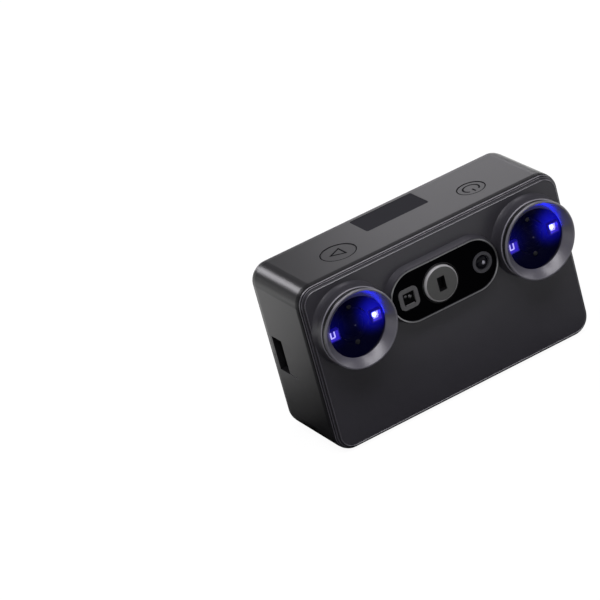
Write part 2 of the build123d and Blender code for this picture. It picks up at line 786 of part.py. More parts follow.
# Chassis: the plate that carries the main board on standoffs
board_post_spread_x = board_width - 2 * board_post_inset
board_post_spread_z = board_height - 2 * board_post_inset
with BuildPart() as chassis:
    with BuildSketch(at_depth(chassis_back)):
        with Locations((chassis_x, chassis_middle_height)):
            RectangleRounded(chassis_width, chassis_height, chassis_corner)
    extrude(amount=chassis_thickness)
    with BuildSketch(at_depth(chassis_front)):
        with Locations((board_x, chassis_middle_height)):
            with GridLocations(board_post_spread_x, board_post_spread_z, 2, 2):
                Circle(bench_post_radius)
    extrude(amount=board_standoff)
    with BuildSketch(at_depth(board_back)):
        with Locations((board_x, chassis_middle_height)):
            with GridLocations(board_post_spread_x, board_post_spread_z, 2, 2):
                Circle(screw_radius + pin_fit)
    extrude(amount=-screw_length, mode=Mode.SUBTRACT)
keep(chassis, "chassis")

# Main board with its chips, notched for the charging socket
with BuildPart() as main_board:
    with BuildSketch(at_depth(board_back)):
        with Locations((board_x, chassis_middle_height)):
            RectangleRounded(board_width, board_height, board_corner)
            with GridLocations(board_post_spread_x, board_post_spread_z, 2, 2):
                Circle(screw_radius + screw_hole_gap, mode=Mode.SUBTRACT)
    extrude(amount=board_thickness)
    with BuildSketch(at_depth(board_front)):
        with Locations((chip_x, chip_z)):
            with GridLocations(chip_spacing, 0, 2, 1):
                Rectangle(chip_size, chip_size)
    extrude(amount=chip_height)
    notch = usb_length / 2 + assembly_gap
    block((-side_x, socket_end), depth_span(board_front - overrun, board_back + overrun),
          (recess_middle - notch, recess_middle + notch), Mode.SUBTRACT)
keep(main_board, "main_board")

# Heat spreader across the chips
with BuildPart() as heat_spreader:
    block((spreader_left, spreader_right),
          depth_span(board_front - chip_height - spreader_thickness, board_front - chip_height),
          (chip_z - spreader_height / 2, chip_z + spreader_height / 2))
keep(heat_spreader, "heat_spreader")

# Optical bench
with BuildPart() as optical_bench:
    with BuildSketch(at_depth(bench_front)):
        with Locations((0, lens_height)):
            RectangleRounded(bench_length, bench_height, bench_corner)
            with GridLocations(2 * bench_post_x, 2 * bench_post_offset, 2, 2):
                Circle(screw_radius + screw_hole_gap, mode=Mode.SUBTRACT)
            with GridLocations(lens_spacing, 0, 2, 1):
                Circle(bench_window_radius, mode=Mode.SUBTRACT)
    extrude(amount=-bench_thickness)
keep(optical_bench, "optical_bench")


def screw_profile(head_at, way, x, z):
    """One screw along the depth: a head with a driver hole, and a shank that runs the given way."""
    rod(x, z, screw_head_radius, *sorted((head_at, head_at - way * screw_head_height)))
    rod(x, z, screw_radius, *sorted((head_at, head_at + way * screw_length)))
    drive_from = head_at - way * screw_head_height
    rod(x, z, screw_drive_radius, *sorted((drive_from, drive_from + way * screw_drive_depth)), Mode.SUBTRACT)


with BuildPart() as bench_screws:
    for x in (-bench_post_x, bench_post_x):
        for z in (lens_height - bench_post_offset, lens_height + bench_post_offset):
            screw_profile(bench_back, -1, x, z)
keep(bench_screws, "bench_screws")

with BuildPart() as board_screws:
    for x in (-board_post_spread_x / 2, board_post_spread_x / 2):
        for z in (-board_post_spread_z / 2, board_post_spread_z / 2):
            screw_profile(board_front, 1, board_x + x, chassis_middle_height + z)
keep(board_screws, "board_screws")

# Flat cables from the bench back to the main board
with BuildPart() as flex_cables:
    for x in (-flex_x, flex_x):
        block((x - flex_thickness / 2, x + flex_thickness / 2), depth_span(bench_back, board_front),
              (lens_height - flex_width / 2, lens_height + flex_width / 2))
keep(flex_cables, "flex_cables")

# Everything in front of the bench that repeats at both cameras
for side, lens_x in lens_places.items():
    # Bezel ring: a spigot in the barrel, a grooved neck and a lip with a wide cone inside
    with BuildPart() as bezel_ring:
        with BuildSketch(lens_plane(lens_x)):
            with BuildLine():
                lip_foot = bezel_tip - bezel_lip
                ridge_low = (barrel_rise + lip_foot - bezel_ridge) / 2
                Polyline(
                    (spigot_radius, spigot_foot_rise), (spigot_radius, barrel_rise),
                    (bezel_neck_radius, barrel_rise), (bezel_neck_radius, ridge_low),
                    (bezel_ridge_radius, ridge_low), (bezel_ridge_radius, ridge_low + bezel_ridge),
                    (bezel_neck_radius, ridge_low + bezel_ridge), (bezel_neck_radius, lip_foot),
                    (bezel_radius, lip_foot), (bezel_radius, bezel_tip - bezel_chamfer),
                    (bezel_radius - bezel_chamfer, bezel_tip), (bezel_radius - bezel_chamfer - bezel_face, bezel_tip),
                    (bezel_mouth_radius, bezel_tip - bezel_cone_depth), (bezel_mouth_radius, glass_face_rise),
                    (spigot_bore_radius, glass_face_rise), (spigot_bore_radius, spigot_foot_rise),
                    close=True)
            make_face()
        revolve(axis=lens_axis(lens_x))
    keep(bezel_ring, f"{side}_bezel_ring")

    # Cover glass, bonded under the cone of the bezel
    with BuildPart() as lens_glass:
        rod(lens_x, lens_height, lens_glass_radius, -glass_face_rise, -glass_back_rise)
    keep(lens_glass, f"{side}_lens_glass")

    # Lamp board on the shoulder of the barrel, with one lamp on each side of the camera
    with BuildPart() as led_board:
        rod(lens_x, lens_height, barrel_bore_radius - slip, -led_face_rise, -barrel_shoulder_rise)
        rod(lens_x, lens_height, led_board_bore_radius, -led_face_rise, -barrel_shoulder_rise, Mode.SUBTRACT)
    keep(led_board, f"{side}_led_board")

    with BuildPart() as leds:
        cup_floor = led_face_rise + led_height - led_cup_depth
        for lamp_x in (lens_x - led_offset, lens_x + led_offset):
            for half, low, high, mode in (
                    (led_size / 2, led_face_rise, led_face_rise + led_height, Mode.ADD),
                    (led_size / 2 - led_cup_rim, cup_floor, led_face_rise + led_height + overrun, Mode.SUBTRACT),
                    (led_chip_size / 2, cup_floor, cup_floor + led_chip_height, Mode.ADD)):
                block((lamp_x - half, lamp_x + half), depth_span(-high, -low),
                      (lens_height - half, lens_height + half), mode)
    keep(leds, f"{side}_leds")

    # Camera: a sensor block on the bench with a lens tube through the lamp board
    camera_block_front = bench_front - camera_block_depth
    with BuildPart() as camera:
        block((lens_x - camera_block_size / 2, lens_x + camera_block_size / 2),
              depth_span(camera_block_front, bench_front),
              (lens_height - camera_block_size / 2, lens_height + camera_block_size / 2))
        rod(lens_x, lens_height, camera_barrel_radius, -camera_barrel_rise, camera_block_front)
        rod(lens_x, lens_height, camera_lens_radius, -camera_barrel_rise, -camera_barrel_rise + camera_lens_seat,
            Mode.SUBTRACT)
    keep(camera, f"{side}_camera")

    # Front element of the camera, seated in its tube and domed forwards
    with BuildPart() as camera_lens:
        lens_low = camera_barrel_rise - camera_lens_seat
        with BuildSketch(lens_plane(lens_x)):
            with BuildLine():
                edge_point = (camera_lens_radius - slip, camera_barrel_rise - camera_lens_bulge)
                crown_point = (0, camera_barrel_rise)
                Polyline(crown_point, (0, lens_low), (camera_lens_radius - slip, lens_low), edge_point)
                chord = camera_lens_radius - slip
                dome_radius = (chord ** 2 + camera_lens_bulge ** 2) / (2 * camera_lens_bulge)
                RadiusArc(edge_point, crown_point, -dome_radius)
            make_face()
        revolve(axis=lens_axis(lens_x))
    keep(camera_lens, f"{side}_camera_lens")

# Sensor window: frame on the boss, black panel inside it
with BuildPart() as window_frame:
    with BuildSketch(at_depth(-boss_rise)):
        with Locations((0, lens_height)):
            SlotOverall(window_length, window_width)
            SlotOverall(inner_length, inner_width, mode=Mode.SUBTRACT)
    extrude(amount=window_frame_height)
keep(window_frame, "window_frame")

with BuildPart() as window_panel:
    with BuildSketch(at_depth(-panel_back_rise)):
        with Locations((0, lens_height)):
            SlotOverall(inner_length - 2 * slip, inner_width - 2 * slip)
        with Locations((projector_x, lens_height)):
            Circle(projector_radius + panel_hole_gap, mode=Mode.SUBTRACT)
        with Locations((colour_camera_x, lens_height)):
            Circle(colour_camera_radius + panel_hole_gap, mode=Mode.SUBTRACT)
        with Locations((depth_module_x, lens_height)):
            hole_size = depth_module_size + 2 * panel_hole_gap
            RectangleRounded(hole_size, hole_size, depth_module_corner + panel_hole_gap, mode=Mode.SUBTRACT)
    extrude(amount=panel_thickness)
keep(window_panel, "window_panel")

# Pattern projector: a silver disc with a slot, on a block that stands on the bench
projector_face_rise = panel_face_rise + projector_proud
projector_back_rise = projector_face_rise - projector_ring_height
with BuildPart() as projector_ring:
    rod(projector_x, lens_height, projector_radius, -projector_face_rise, -projector_back_rise)
    chamfer(projector_ring.faces().sort_by(Axis.Y)[0].outer_wire().edges(), projector_edge)
    block((projector_x - projector_slot_width / 2, projector_x + projector_slot_width / 2),
          depth_span(-projector_face_rise - overrun, -projector_back_rise + overrun),
          (lens_height - projector_slot_height / 2, lens_height + projector_slot_height / 2), Mode.SUBTRACT)
keep(projector_ring, "projector_ring")

with BuildPart() as projector_module:
    block((projector_x - projector_block_size / 2, projector_x + projector_block_size / 2),
          depth_span(-projector_back_rise, bench_front),
          (lens_height - projector_block_size / 2, lens_height + projector_block_size / 2))
keep(projector_module, "projector_module")

# Colour camera: a ringed tube on its block, with a small front element
colour_face_rise = panel_face_rise + colour_camera_proud
module_block_front = bench_front - module_block_depth
with BuildPart() as colour_camera:
    block((colour_camera_x - module_block_size / 2, colour_camera_x + module_block_size / 2),
          depth_span(module_block_front, bench_front),
          (lens_height - module_block_size / 2, lens_height + module_block_size / 2))
    rod(colour_camera_x, lens_height, colour_camera_radius, -colour_face_rise, module_block_front)
    rod(colour_camera_x, lens_height, colour_camera_radius - colour_camera_rim, -colour_face_rise - overrun,
        -colour_face_rise + colour_camera_recess, Mode.SUBTRACT)
keep(colour_camera, "colour_camera")

with BuildPart() as colour_camera_lens:
    floor_rise = colour_face_rise - colour_camera_recess
    colour_lens_radius = colour_camera_radius - colour_camera_rim - colour_lens_gap
    rod(colour_camera_x, lens_height, colour_lens_radius, -floor_rise - colour_lens_thickness, -floor_rise)
keep(colour_camera_lens, "colour_camera_lens")

# Depth module: a rounded square eye beside the projector
depth_face_rise = panel_face_rise + depth_module_proud
with BuildPart() as depth_module:
    block((depth_module_x - module_block_size / 2, depth_module_x + module_block_size / 2),
          depth_span(module_block_front, bench_front),
          (lens_height - module_block_size / 2, lens_height + module_block_size / 2))
    with BuildSketch(at_depth(module_block_front)):
        with Locations((depth_module_x, lens_height)):
            RectangleRounded(depth_module_size, depth_module_size, depth_module_corner)
    extrude(amount=module_block_front + depth_face_rise)
    with BuildSketch(at_depth(-depth_face_rise)):
        with Locations((depth_module_x, lens_height)):
            eye_size = depth_module_size - 2 * depth_module_rim
            RectangleRounded(eye_size, eye_size, depth_module_eye_corner)
    extrude(amount=-depth_module_recess, mode=Mode.SUBTRACT)
keep(depth_module, "depth_module")

# Push buttons: a cap in the top wall with a flange under it
for name, way, radius in (("scan_button", -1, scan_button_radius), ("power_button", 1, power_button_radius)):
    with BuildPart() as button:
        x = way * button_spacing / 2
        post(x, y_at(button_depth), radius, button_floor, body_height - button_sink)
        chamfer(button.faces().sort_by(Axis.Z)[-1].edges(), button_edge)
        post(x, y_at(button_depth), radius + button_flange, button_floor, button_floor + button_flange_height)
    keep(button, name)

# Button board, hung from the top wall, with a switch under each button
with BuildPart() as button_board:
    block((-button_board_length / 2, button_board_length / 2),
          depth_span(button_depth - button_board_width / 2, button_depth + button_board_width / 2),
          (button_board_top - button_board_thickness, button_board_top))
keep(button_board, "button_board")

with BuildPart() as button_switches:
    for way in (-1, 1):
        x = way * button_spacing / 2
        block((x - switch_size / 2, x + switch_size / 2),
              depth_span(button_depth - switch_size / 2, button_depth + switch_size / 2),
              (button_board_top, switch_top))
keep(button_switches, "button_switches")

# Status window in the top with its small display
status_back = body_height - status_sink - status_thickness
with BuildPart() as status_window:
    with BuildSketch(Plane.XY.offset(status_back)):
        with Locations((0, y_at(status_place))):
            RectangleRounded(status_width - 2 * slip, status_depth - 2 * slip, status_corner)
    extrude(amount=status_thickness)
keep(status_window, "status_window")

with BuildPart() as status_display:
    half_width = status_width / 2 - status_ledge - assembly_gap
    half_depth = status_depth / 2 - status_ledge - assembly_gap
    block((-half_width, half_width), depth_span(status_place - half_depth, status_place + half_depth),
          (status_back - status_display_thickness, status_back))
keep(status_display, "status_display")

# Battery door: a strip of the case's own outline, ending in a knuckle round the hinge pin
with BuildPart() as battery_door:
    with BuildSketch(at_depth(battery_door_front + seam)):
        body_outline(0)
        with Locations((0, body_height / 2)):
            RectangleRounded(body_width - 2 * battery_door_wall, body_height - 2 * battery_door_wall,
                             corner_radius - battery_door_wall, mode=Mode.SUBTRACT)
        door_top = battery_door_top - seam
        with Locations(((battery_hinge_x + side_x + overrun) / 2, door_top / 2)):
            Rectangle(side_x + overrun - battery_hinge_x, door_top, mode=Mode.INTERSECT)
        with Locations((battery_hinge_x, battery_hinge_z)):
            Circle(battery_knuckle_radius)
            Circle(battery_pin_radius + slip, mode=Mode.SUBTRACT)
    extrude(amount=battery_door_front - battery_door_rear + 2 * seam)
    inner_face = side_x - battery_door_wall
    latch_rails(inner_face, battery_latch_depth, battery_latch_z, battery_latch_width, battery_latch_height,
                battery_latch_travel)
    with BuildSketch(Plane.YZ.offset(side_x)):
        window_outline(battery_latch_depth, battery_latch_z, battery_latch_width, battery_latch_height,
                       battery_latch_corner)
    extrude(amount=-battery_door_wall, mode=Mode.SUBTRACT)
keep(battery_door, "battery_door")

slide_latch("battery_latch", side_x, battery_door_wall, battery_latch_depth, battery_latch_z, battery_latch_width,
            battery_latch_height, battery_latch_bar, battery_latch_travel)

with BuildPart() as battery_door_pin:
    rod(battery_hinge_x, battery_hinge_z, battery_pin_radius, battery_door_front - door_pin_seat + slip,
        battery_door_rear + door_pin_seat - slip)
keep(battery_door_pin, "battery_door_pin")

# Battery pack in its cradle, with the spring contacts at the inner end
battery_span_y = depth_span(battery_front, battery_front + battery_thickness)
battery_span_z = (battery_low, battery_low + battery_height)
with BuildPart() as battery_pack:
    block((battery_start_x, battery_end_x), battery_span_y, battery_span_z)
    fillet(battery_pack.edges().filter_by(Axis.X), battery_edge)
keep(battery_pack, "battery_pack")

with BuildPart() as battery_cradle:
    margin = battery_gap + cradle_wall
    block((cradle_back_x, cradle_mouth_x), (battery_span_y[0] - margin, battery_span_y[1] + margin),
          (battery_span_z[0] - margin, battery_span_z[1] + margin))
    block((cradle_back_x + cradle_wall, cradle_mouth_x + overrun),
          (battery_span_y[0] - battery_gap, battery_span_y[1] + battery_gap),
          (battery_span_z[0] - battery_gap, battery_span_z[1] + battery_gap), Mode.SUBTRACT)
    boss_clear = boss_radius + assembly_gap
    post(tripod_x, y_at(tripod_depth), boss_clear, 0, cradle_top + overrun, Mode.SUBTRACT)
keep(battery_cradle, "battery_cradle")

with BuildPart() as battery_contacts:
    contact_middle = (battery_span_y[0] + battery_span_y[1]) / 2
    for step in (-1, 0, 1):
        y = contact_middle + step * contact_spacing
        block((cradle_back_x + cradle_wall, battery_start_x - battery_gap / 2),
              (y - contact_width / 2, y + contact_width / 2),
              (battery_low + contact_height, battery_low + 2 * contact_height))
keep(battery_contacts, "battery_contacts")

# Port cover: a flat flap with a knuckle along its lower edge
with BuildPart() as port_cover:
    with BuildSketch(at_depth(port_front + seam)):
        flap_top = port_high - seam
        with Locations((side_x - port_cover_wall / 2, (port_hinge_z + flap_top) / 2)):
            Rectangle(port_cover_wall, flap_top - port_hinge_z)
        with Locations((port_hinge_x, port_hinge_z)):
            Circle(port_knuckle_radius)
            Circle(port_pin_radius + slip, mode=Mode.SUBTRACT)
    extrude(amount=port_front - port_rear + 2 * seam)
    latch_rails(side_x - port_cover_wall, port_latch_depth, port_middle, port_latch_width, port_latch_height,
                port_latch_travel)
    with BuildSketch(Plane.YZ.offset(side_x)):
        window_outline(port_latch_depth, port_middle, port_latch_width, port_latch_height, port_latch_corner)
    extrude(amount=-port_cover_wall, mode=Mode.SUBTRACT)
keep(port_cover, "port_cover")

slide_latch("port_latch", side_x, port_cover_wall, port_latch_depth, port_middle, port_latch_width,
            port_latch_height, port_latch_bar, port_latch_travel)

with BuildPart() as port_cover_pin:
    rod(port_hinge_x, port_hinge_z, port_pin_radius, port_front - port_pin_seat + slip,
        port_rear + port_pin_seat - slip)
keep(port_cover_pin, "port_cover_pin")


def socket_outline(depth, z, length, thickness):
    """Draws an upright slot with round ends, as a plug socket has."""
    with Locations((y_at(depth), z)):
        SlotOverall(length, thickness, rotation=90)


# Port frame behind the port cover, open at the latch and at both sockets
with BuildPart() as port_frame:
    block((port_frame_front_x, inner_x), depth_span(port_front - port_frame_margin, port_rear + port_frame_margin),
          (port_low - port_frame_margin, port_high + port_frame_margin))
    latch_room = port_latch_width / 2 + latch_side + assembly_gap
    latch_reach = port_latch_height / 2 + latch_plate_margin + port_latch_travel + latch_rail
    block((port_frame_front_x - overrun, inner_x + overrun),
          depth_span(port_latch_depth - latch_room, port_latch_depth + latch_room),
          (port_middle - latch_reach, port_middle + latch_reach), Mode.SUBTRACT)
    with BuildSketch(Plane.YZ.offset(port_frame_front_x)):
        socket_outline(usb_depth, port_middle, usb_length + 2 * slip, usb_thickness + 2 * slip)
        with Locations((y_at(card_depth), port_middle)):
            Rectangle(card_thickness + 2 * slip, card_length + 2 * slip)
    extrude(amount=port_frame_thickness, mode=Mode.SUBTRACT)
keep(port_frame, "port_frame")

with BuildPart() as port_board:
    block((port_frame_front_x - port_board_length, port_frame_front_x),
          depth_span(port_board_depth, port_board_depth + port_board_thickness),
          (port_middle - port_board_height / 2, port_middle + port_board_height / 2))
keep(port_board, "port_board")


def plug_socket(name, mouth_x, way, depth, z):
    """A round-ended socket with a tongue inside; way is the direction that it runs from its mouth."""
    with BuildPart() as socket:
        with BuildSketch(Plane.YZ.offset(mouth_x)):
            socket_outline(depth, z, usb_length, usb_thickness)
        extrude(amount=way * usb_reach)
        with BuildSketch(Plane.YZ.offset(mouth_x)):
            socket_outline(depth, z, usb_length - 2 * usb_shell, usb_thickness - 2 * usb_shell)
        extrude(amount=way * (usb_reach - usb_back), mode=Mode.SUBTRACT)
        tongue_x = sorted((mouth_x + way * usb_back, mouth_x + way * usb_reach))
        block(tongue_x, depth_span(depth - usb_tongue / 2, depth + usb_tongue / 2),
              (z - usb_length / 2 + usb_thickness / 2, z + usb_length / 2 - usb_thickness / 2))
    keep(socket, name)


plug_socket("usb_socket", inner_x, -1, usb_depth, port_middle)

with BuildPart() as card_socket:
    block((inner_x - card_reach, inner_x), depth_span(card_depth - card_thickness / 2, card_depth + card_thickness / 2),
          (port_middle - card_length / 2, port_middle + card_length / 2))
    block((inner_x - card_reach + usb_back, inner_x + overrun),
          depth_span(card_depth - card_slot / 2, card_depth + card_slot / 2),
          (port_middle - card_length / 2 + card_slot_side, port_middle + card_length / 2 - card_slot_side),
          Mode.SUBTRACT)
keep(card_socket, "card_socket")

# Side insert: the lining of the left recess, with a ramp on its front side and the socket's slot in its floor
with BuildPart() as side_port_insert:
    block((-inner_x, floor_x + recess_insert_back),
          depth_span(recess_front - recess_insert_wall, insert_rear),
          (recess_low - recess_insert_wall, recess_high + recess_insert_wall))
    with BuildSketch(Plane.XY.offset(recess_low)):
        with BuildLine():
            Polyline((-inner_x, y_at(recess_front)), (floor_x, y_at(recess_ramp_end)), (floor_x, y_at(recess_rear)),
                     (-side_x, y_at(recess_rear)), (-side_x, y_at(recess_front)), close=True)
        make_face()
    extrude(amount=recess_high - recess_low, mode=Mode.SUBTRACT)
    with BuildSketch(Plane.YZ.offset(floor_x)):
        socket_outline(socket_depth, recess_middle, usb_length + 2 * slip, usb_thickness + 2 * slip)
    extrude(amount=recess_insert_back, mode=Mode.SUBTRACT)
keep(side_port_insert, "side_port_insert")

plug_socket("side_socket", floor_x, 1, socket_depth, recess_middle)

# Strap bar and lanyard pin, both held at their ends by the shell
with BuildPart() as strap_bar:
    post(strap_bar_x, y_at(strap_bar_depth), strap_bar_radius, strap_low - strap_bar_seat + slip,
         strap_high + strap_bar_seat - slip)
keep(strap_bar, "strap_bar")

with BuildPart() as lanyard_pin:
    rod(lanyard_pin_x, lanyard_pin_height, lanyard_pin_radius, lanyard_front - lanyard_pad_wall / 2 + slip,
        lanyard_rear + lanyard_pad_wall / 2 - slip)
keep(lanyard_pin, "lanyard_pin")

# Tripod bush: a flanged steel bush with a blind hole from below
with BuildPart() as tripod_insert:
    tripod_y = y_at(tripod_depth)
    post(tripod_x, tripod_y, tripod_flange_radius, tripod_flange_sink, tripod_recess)
    post(tripod_x, tripod_y, tripod_bush_radius, tripod_flange_sink, tripod_flange_sink + tripod_bush_height)
    post(tripod_x, tripod_y, tripod_bore_radius, tripod_flange_sink, tripod_flange_sink + tripod_bore_length,
         Mode.SUBTRACT)
keep(tripod_insert, "tripod_insert")

# Inlays of the base: the large plate, the framed blank label and the small service plate
with BuildPart() as base_plate:
    with BuildSketch(Plane.XY.offset(inlay_sink)):
        inlay_outline(*inlay_places["base_plate"], slip)
        with Locations((tripod_x, y_at(tripod_depth))):
            Circle(tripod_recess_radius, mode=Mode.SUBTRACT)
    extrude(amount=inlay_thickness)
keep(base_plate, "base_plate")

with BuildPart() as label_plate:
    with BuildSketch(Plane.XY.offset(inlay_sink)):
        inlay_outline(*inlay_places["label_plate"], slip)
    extrude(amount=inlay_thickness)
    split_depth = inlay_front + label_split
    for front, rear in ((inlay_front, split_depth), (split_depth - label_frame, base_plate_rear)):
        with BuildSketch(Plane.XY.offset(inlay_sink)):
            inlay_outline(label_left, label_right, front, rear, label_frame + slip)
        extrude(amount=label_panel_sink, mode=Mode.SUBTRACT)
keep(label_plate, "label_plate")

with BuildPart() as service_plate:
    with BuildSketch(Plane.XY.offset(inlay_sink)):
        inlay_outline(*inlay_places["service_plate"], slip)
    extrude(amount=inlay_thickness)
keep(service_plate, "service_plate")

# Base screws, up into the lugs of both covers
with BuildPart() as base_screws:
    for x in (-base_screw_x, base_screw_x):
        for screw_depth in (base_screw_inset, body_depth - base_screw_inset):
            y = y_at(screw_depth)
            head_top = base_screw_sink + screw_head_height
            post(x, y, screw_head_radius, base_screw_sink, head_top)
            post(x, y, screw_radius, base_screw_sink, base_screw_sink + screw_length)
            post(x, y, screw_drive_radius, base_screw_sink, base_screw_sink + screw_drive_depth, Mode.SUBTRACT)
keep(base_screws, "base_screws")
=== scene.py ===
# %% [markdown]
# # A palm-sized hand-held scanner
# The object is a charcoal plastic box with two ringed cameras in front, a black sensor window
# between them, two push buttons on top, a screen on the back and two hinged covers on one side.
# The solid model already has every part at its real size. This lesson keeps those parts, gives
# each one a finish, and adds the small things that a camera sees: lit lamps, lens rings, engraved
# signs, grips and a thread.
#
# The first cell loads the solid model. Nothing here moves it: +Z is up and the cameras look along
# -Y, in metres. Small sizes are written in millimetres, and MM turns them into metres.

# %% Load the solid model
import math

import bmesh
import bpy
from mathutils import Matrix, Vector


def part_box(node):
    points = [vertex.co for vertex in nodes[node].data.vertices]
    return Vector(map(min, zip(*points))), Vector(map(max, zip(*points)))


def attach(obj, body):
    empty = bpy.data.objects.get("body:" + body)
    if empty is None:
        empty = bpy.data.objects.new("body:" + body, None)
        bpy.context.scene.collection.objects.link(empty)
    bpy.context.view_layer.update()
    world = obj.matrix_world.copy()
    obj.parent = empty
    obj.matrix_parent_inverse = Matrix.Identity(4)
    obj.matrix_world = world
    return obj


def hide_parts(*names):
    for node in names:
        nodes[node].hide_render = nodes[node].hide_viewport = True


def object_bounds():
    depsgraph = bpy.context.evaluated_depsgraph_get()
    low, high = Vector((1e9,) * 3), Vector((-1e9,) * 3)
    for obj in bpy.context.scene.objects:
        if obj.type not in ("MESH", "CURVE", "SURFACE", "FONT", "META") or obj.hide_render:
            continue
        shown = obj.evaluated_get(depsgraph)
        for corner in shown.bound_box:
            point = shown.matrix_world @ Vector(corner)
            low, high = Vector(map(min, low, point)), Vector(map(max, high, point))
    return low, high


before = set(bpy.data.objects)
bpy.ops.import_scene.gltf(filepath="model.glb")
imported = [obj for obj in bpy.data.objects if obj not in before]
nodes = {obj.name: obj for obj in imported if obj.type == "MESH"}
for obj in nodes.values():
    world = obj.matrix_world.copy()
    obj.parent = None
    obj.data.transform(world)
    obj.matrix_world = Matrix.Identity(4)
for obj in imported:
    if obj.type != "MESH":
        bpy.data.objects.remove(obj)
cad_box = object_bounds()
scene = bpy.context.scene
MM = 0.001


def box_middle(node):
    """The middle of a node's box."""
    low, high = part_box(node)
    return (low + high) / 2


def front_middle(node):
    """The middle of the front of a node's box."""
    middle_point = box_middle(node)
    middle_point.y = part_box(node)[0].y
    return middle_point


cad_size = cad_box[1] - cad_box[0]
print("loaded", len(nodes), "nodes; size in mm:", [round(v / MM, 2) for v in cad_size])

# %% [markdown]
# ## The camera
# The photograph was taken with a long lens from the upper left, and the picture is turned, so the
# object seems to lean. A camera can be placed by its rotation angles, but three directions are
# easier to read: the way it looks, a level line across the picture, and that line turned by the
# roll.

# %% Camera
view_turn = math.radians(-23.3)
view_rise = math.radians(25.05)
view_roll = math.radians(-15.66)
eye = Vector((-0.49664, -1.03579, 0.58608))
lens_length = 201.9
sensor_width = 36.0

looks_along = Vector((-math.sin(view_turn) * math.cos(view_rise),
                      math.cos(view_turn) * math.cos(view_rise),
                      -math.sin(view_rise)))
level = Vector((math.cos(view_turn), math.sin(view_turn), 0))
upright = level.cross(looks_along)
across = math.cos(view_roll) * level + math.sin(view_roll) * upright
upwards = math.cos(view_roll) * upright - math.sin(view_roll) * level
turned = Matrix((across, upwards, -looks_along)).transposed().to_4x4()
camera = bpy.data.objects.new("camera", bpy.data.cameras.new("camera"))
camera.data.lens = lens_length
camera.data.sensor_width = sensor_width
camera.matrix_world = Matrix.Translation(eye) @ turned
scene.collection.objects.link(camera)
scene.camera = camera
scene.view_settings.view_transform = "Standard"
print("camera at", [round(v, 3) for v in eye])

# %% [markdown]
# ## Writing shaders as sums
# A material is a graph of nodes. Wiring it by hand takes many lines, so a small class wraps a
# socket and lets Python's own operators add the Math nodes. Everything else goes through one
# method that makes a node, sets it up and connects it.


# %% Values in a material
class Shade:
    """A value in a material; sums with it add Math nodes."""

    def __init__(self, finish, socket):
        self.finish = finish
        self.socket = socket

    def math(self, operation, first, second=0.0):
        return self.finish.node("ShaderNodeMath", {"operation": operation}, {0: first, 1: second})

    def __add__(self, other):
        return self.math("ADD", self, other)

    def __radd__(self, other):
        return self.math("ADD", other, self)

    def __sub__(self, other):
        return self.math("SUBTRACT", self, other)

    def __rsub__(self, other):
        return self.math("SUBTRACT", other, self)

    def __mul__(self, other):
        return self.math("MULTIPLY", self, other)

    def __rmul__(self, other):
        return self.math("MULTIPLY", other, self)

    def __pow__(self, other):
        return self.math("POWER", self, other)

    def __lt__(self, other):
        return self.math("LESS_THAN", self, other)

    def __gt__(self, other):
        return self.math("GREATER_THAN", self, other)

    def __abs__(self):
        return self.math("ABSOLUTE", self)

    def sine(self):
        return self.math("SINE", self)

    def most(self, other):
        return self.math("MAXIMUM", self, other)


print("values ready")

# %% [markdown]
# ## One class for every finish
# A finish holds one material with its surface shader. Its methods are the few patterns that this
# object needs: noise, soft fades, blends of two colours, bump, and distances from a point or from
# a line along the depth.


# %% Finishes
class Finish:
    """One material, with its surface shader ready to be set."""

    def __init__(self, name):
        self.material = bpy.data.materials.new(name)
        self.material.use_nodes = True
        self.tree = self.material.node_tree
        self.tree.nodes.clear()
        self.surface = self.tree.nodes.new("ShaderNodeBsdfPrincipled")
        self.output = self.tree.nodes.new("ShaderNodeOutputMaterial")
        self.tree.links.new(self.surface.outputs[0], self.output.inputs["Surface"])

    def node(self, kind, settings=None, sockets=None, output=0):
        made = self.tree.nodes.new(kind)
        for key, value in (settings or {}).items():
            setattr(made, key, value)
        self.connect(made, sockets or {})
        return Shade(self, made.outputs[output])

    def connect(self, made, sockets):
        for key, value in sockets.items():
            if isinstance(value, Shade):
                self.tree.links.new(value.socket, made.inputs[key])
            else:
                made.inputs[key].default_value = value

    def set(self, **sockets):
        self.connect(self.surface, {key.replace("_", " "): value for key, value in sockets.items()})
        return self

    def place(self):
        return self.node("ShaderNodeTexCoord", output="Object")

    def along(self, axis):
        return self.node("ShaderNodeSeparateXYZ", sockets={0: self.place()}, output=axis)

    def noise(self, scale, detail=2.0):
        return self.node("ShaderNodeTexNoise", sockets={
            "Vector": self.place(), "Scale": scale, "Detail": detail})

    def between(self, factor, low, high):
        return self.node("ShaderNodeMapRange", sockets={
            "Value": factor, "To Min": low, "To Max": high})

    def fade(self, distance, near, far):
        """One at the near distance, zero at the far one, and a soft curve between."""
        return self.node("ShaderNodeMapRange", {"interpolation_type": "SMOOTHSTEP"}, {
            "Value": distance, "From Min": near, "From Max": far, "To Min": 1.0, "To Max": 0.0})

    def blend(self, factor, first, second):
        return self.node("ShaderNodeMix", {"data_type": "RGBA"}, {0: factor, 6: first, 7: second},
                         output=2)

    def bump(self, height, depth, strength):
        return self.node("ShaderNodeBump", sockets={
            "Height": height, "Distance": depth, "Strength": strength})

    def distance(self, point):
        """Distance from a point."""
        return self.node("ShaderNodeVectorMath", {"operation": "DISTANCE"},
                         {0: self.place(), 1: point}, "Value")

    def radius(self, axis_x, axis_z):
        """Distance from a line along the depth."""
        return ((self.along("X") - axis_x) ** 2.0 + (self.along("Z") - axis_z) ** 2.0) ** 0.5


def grey(tone):
    """A neutral colour of one level."""
    return (tone, tone, tone, 1.0)


def shade_of(colour, factor):
    """A colour made darker or lighter by a factor."""
    return [min(c * factor, 1.0) for c in colour[:3]] + [1.0]


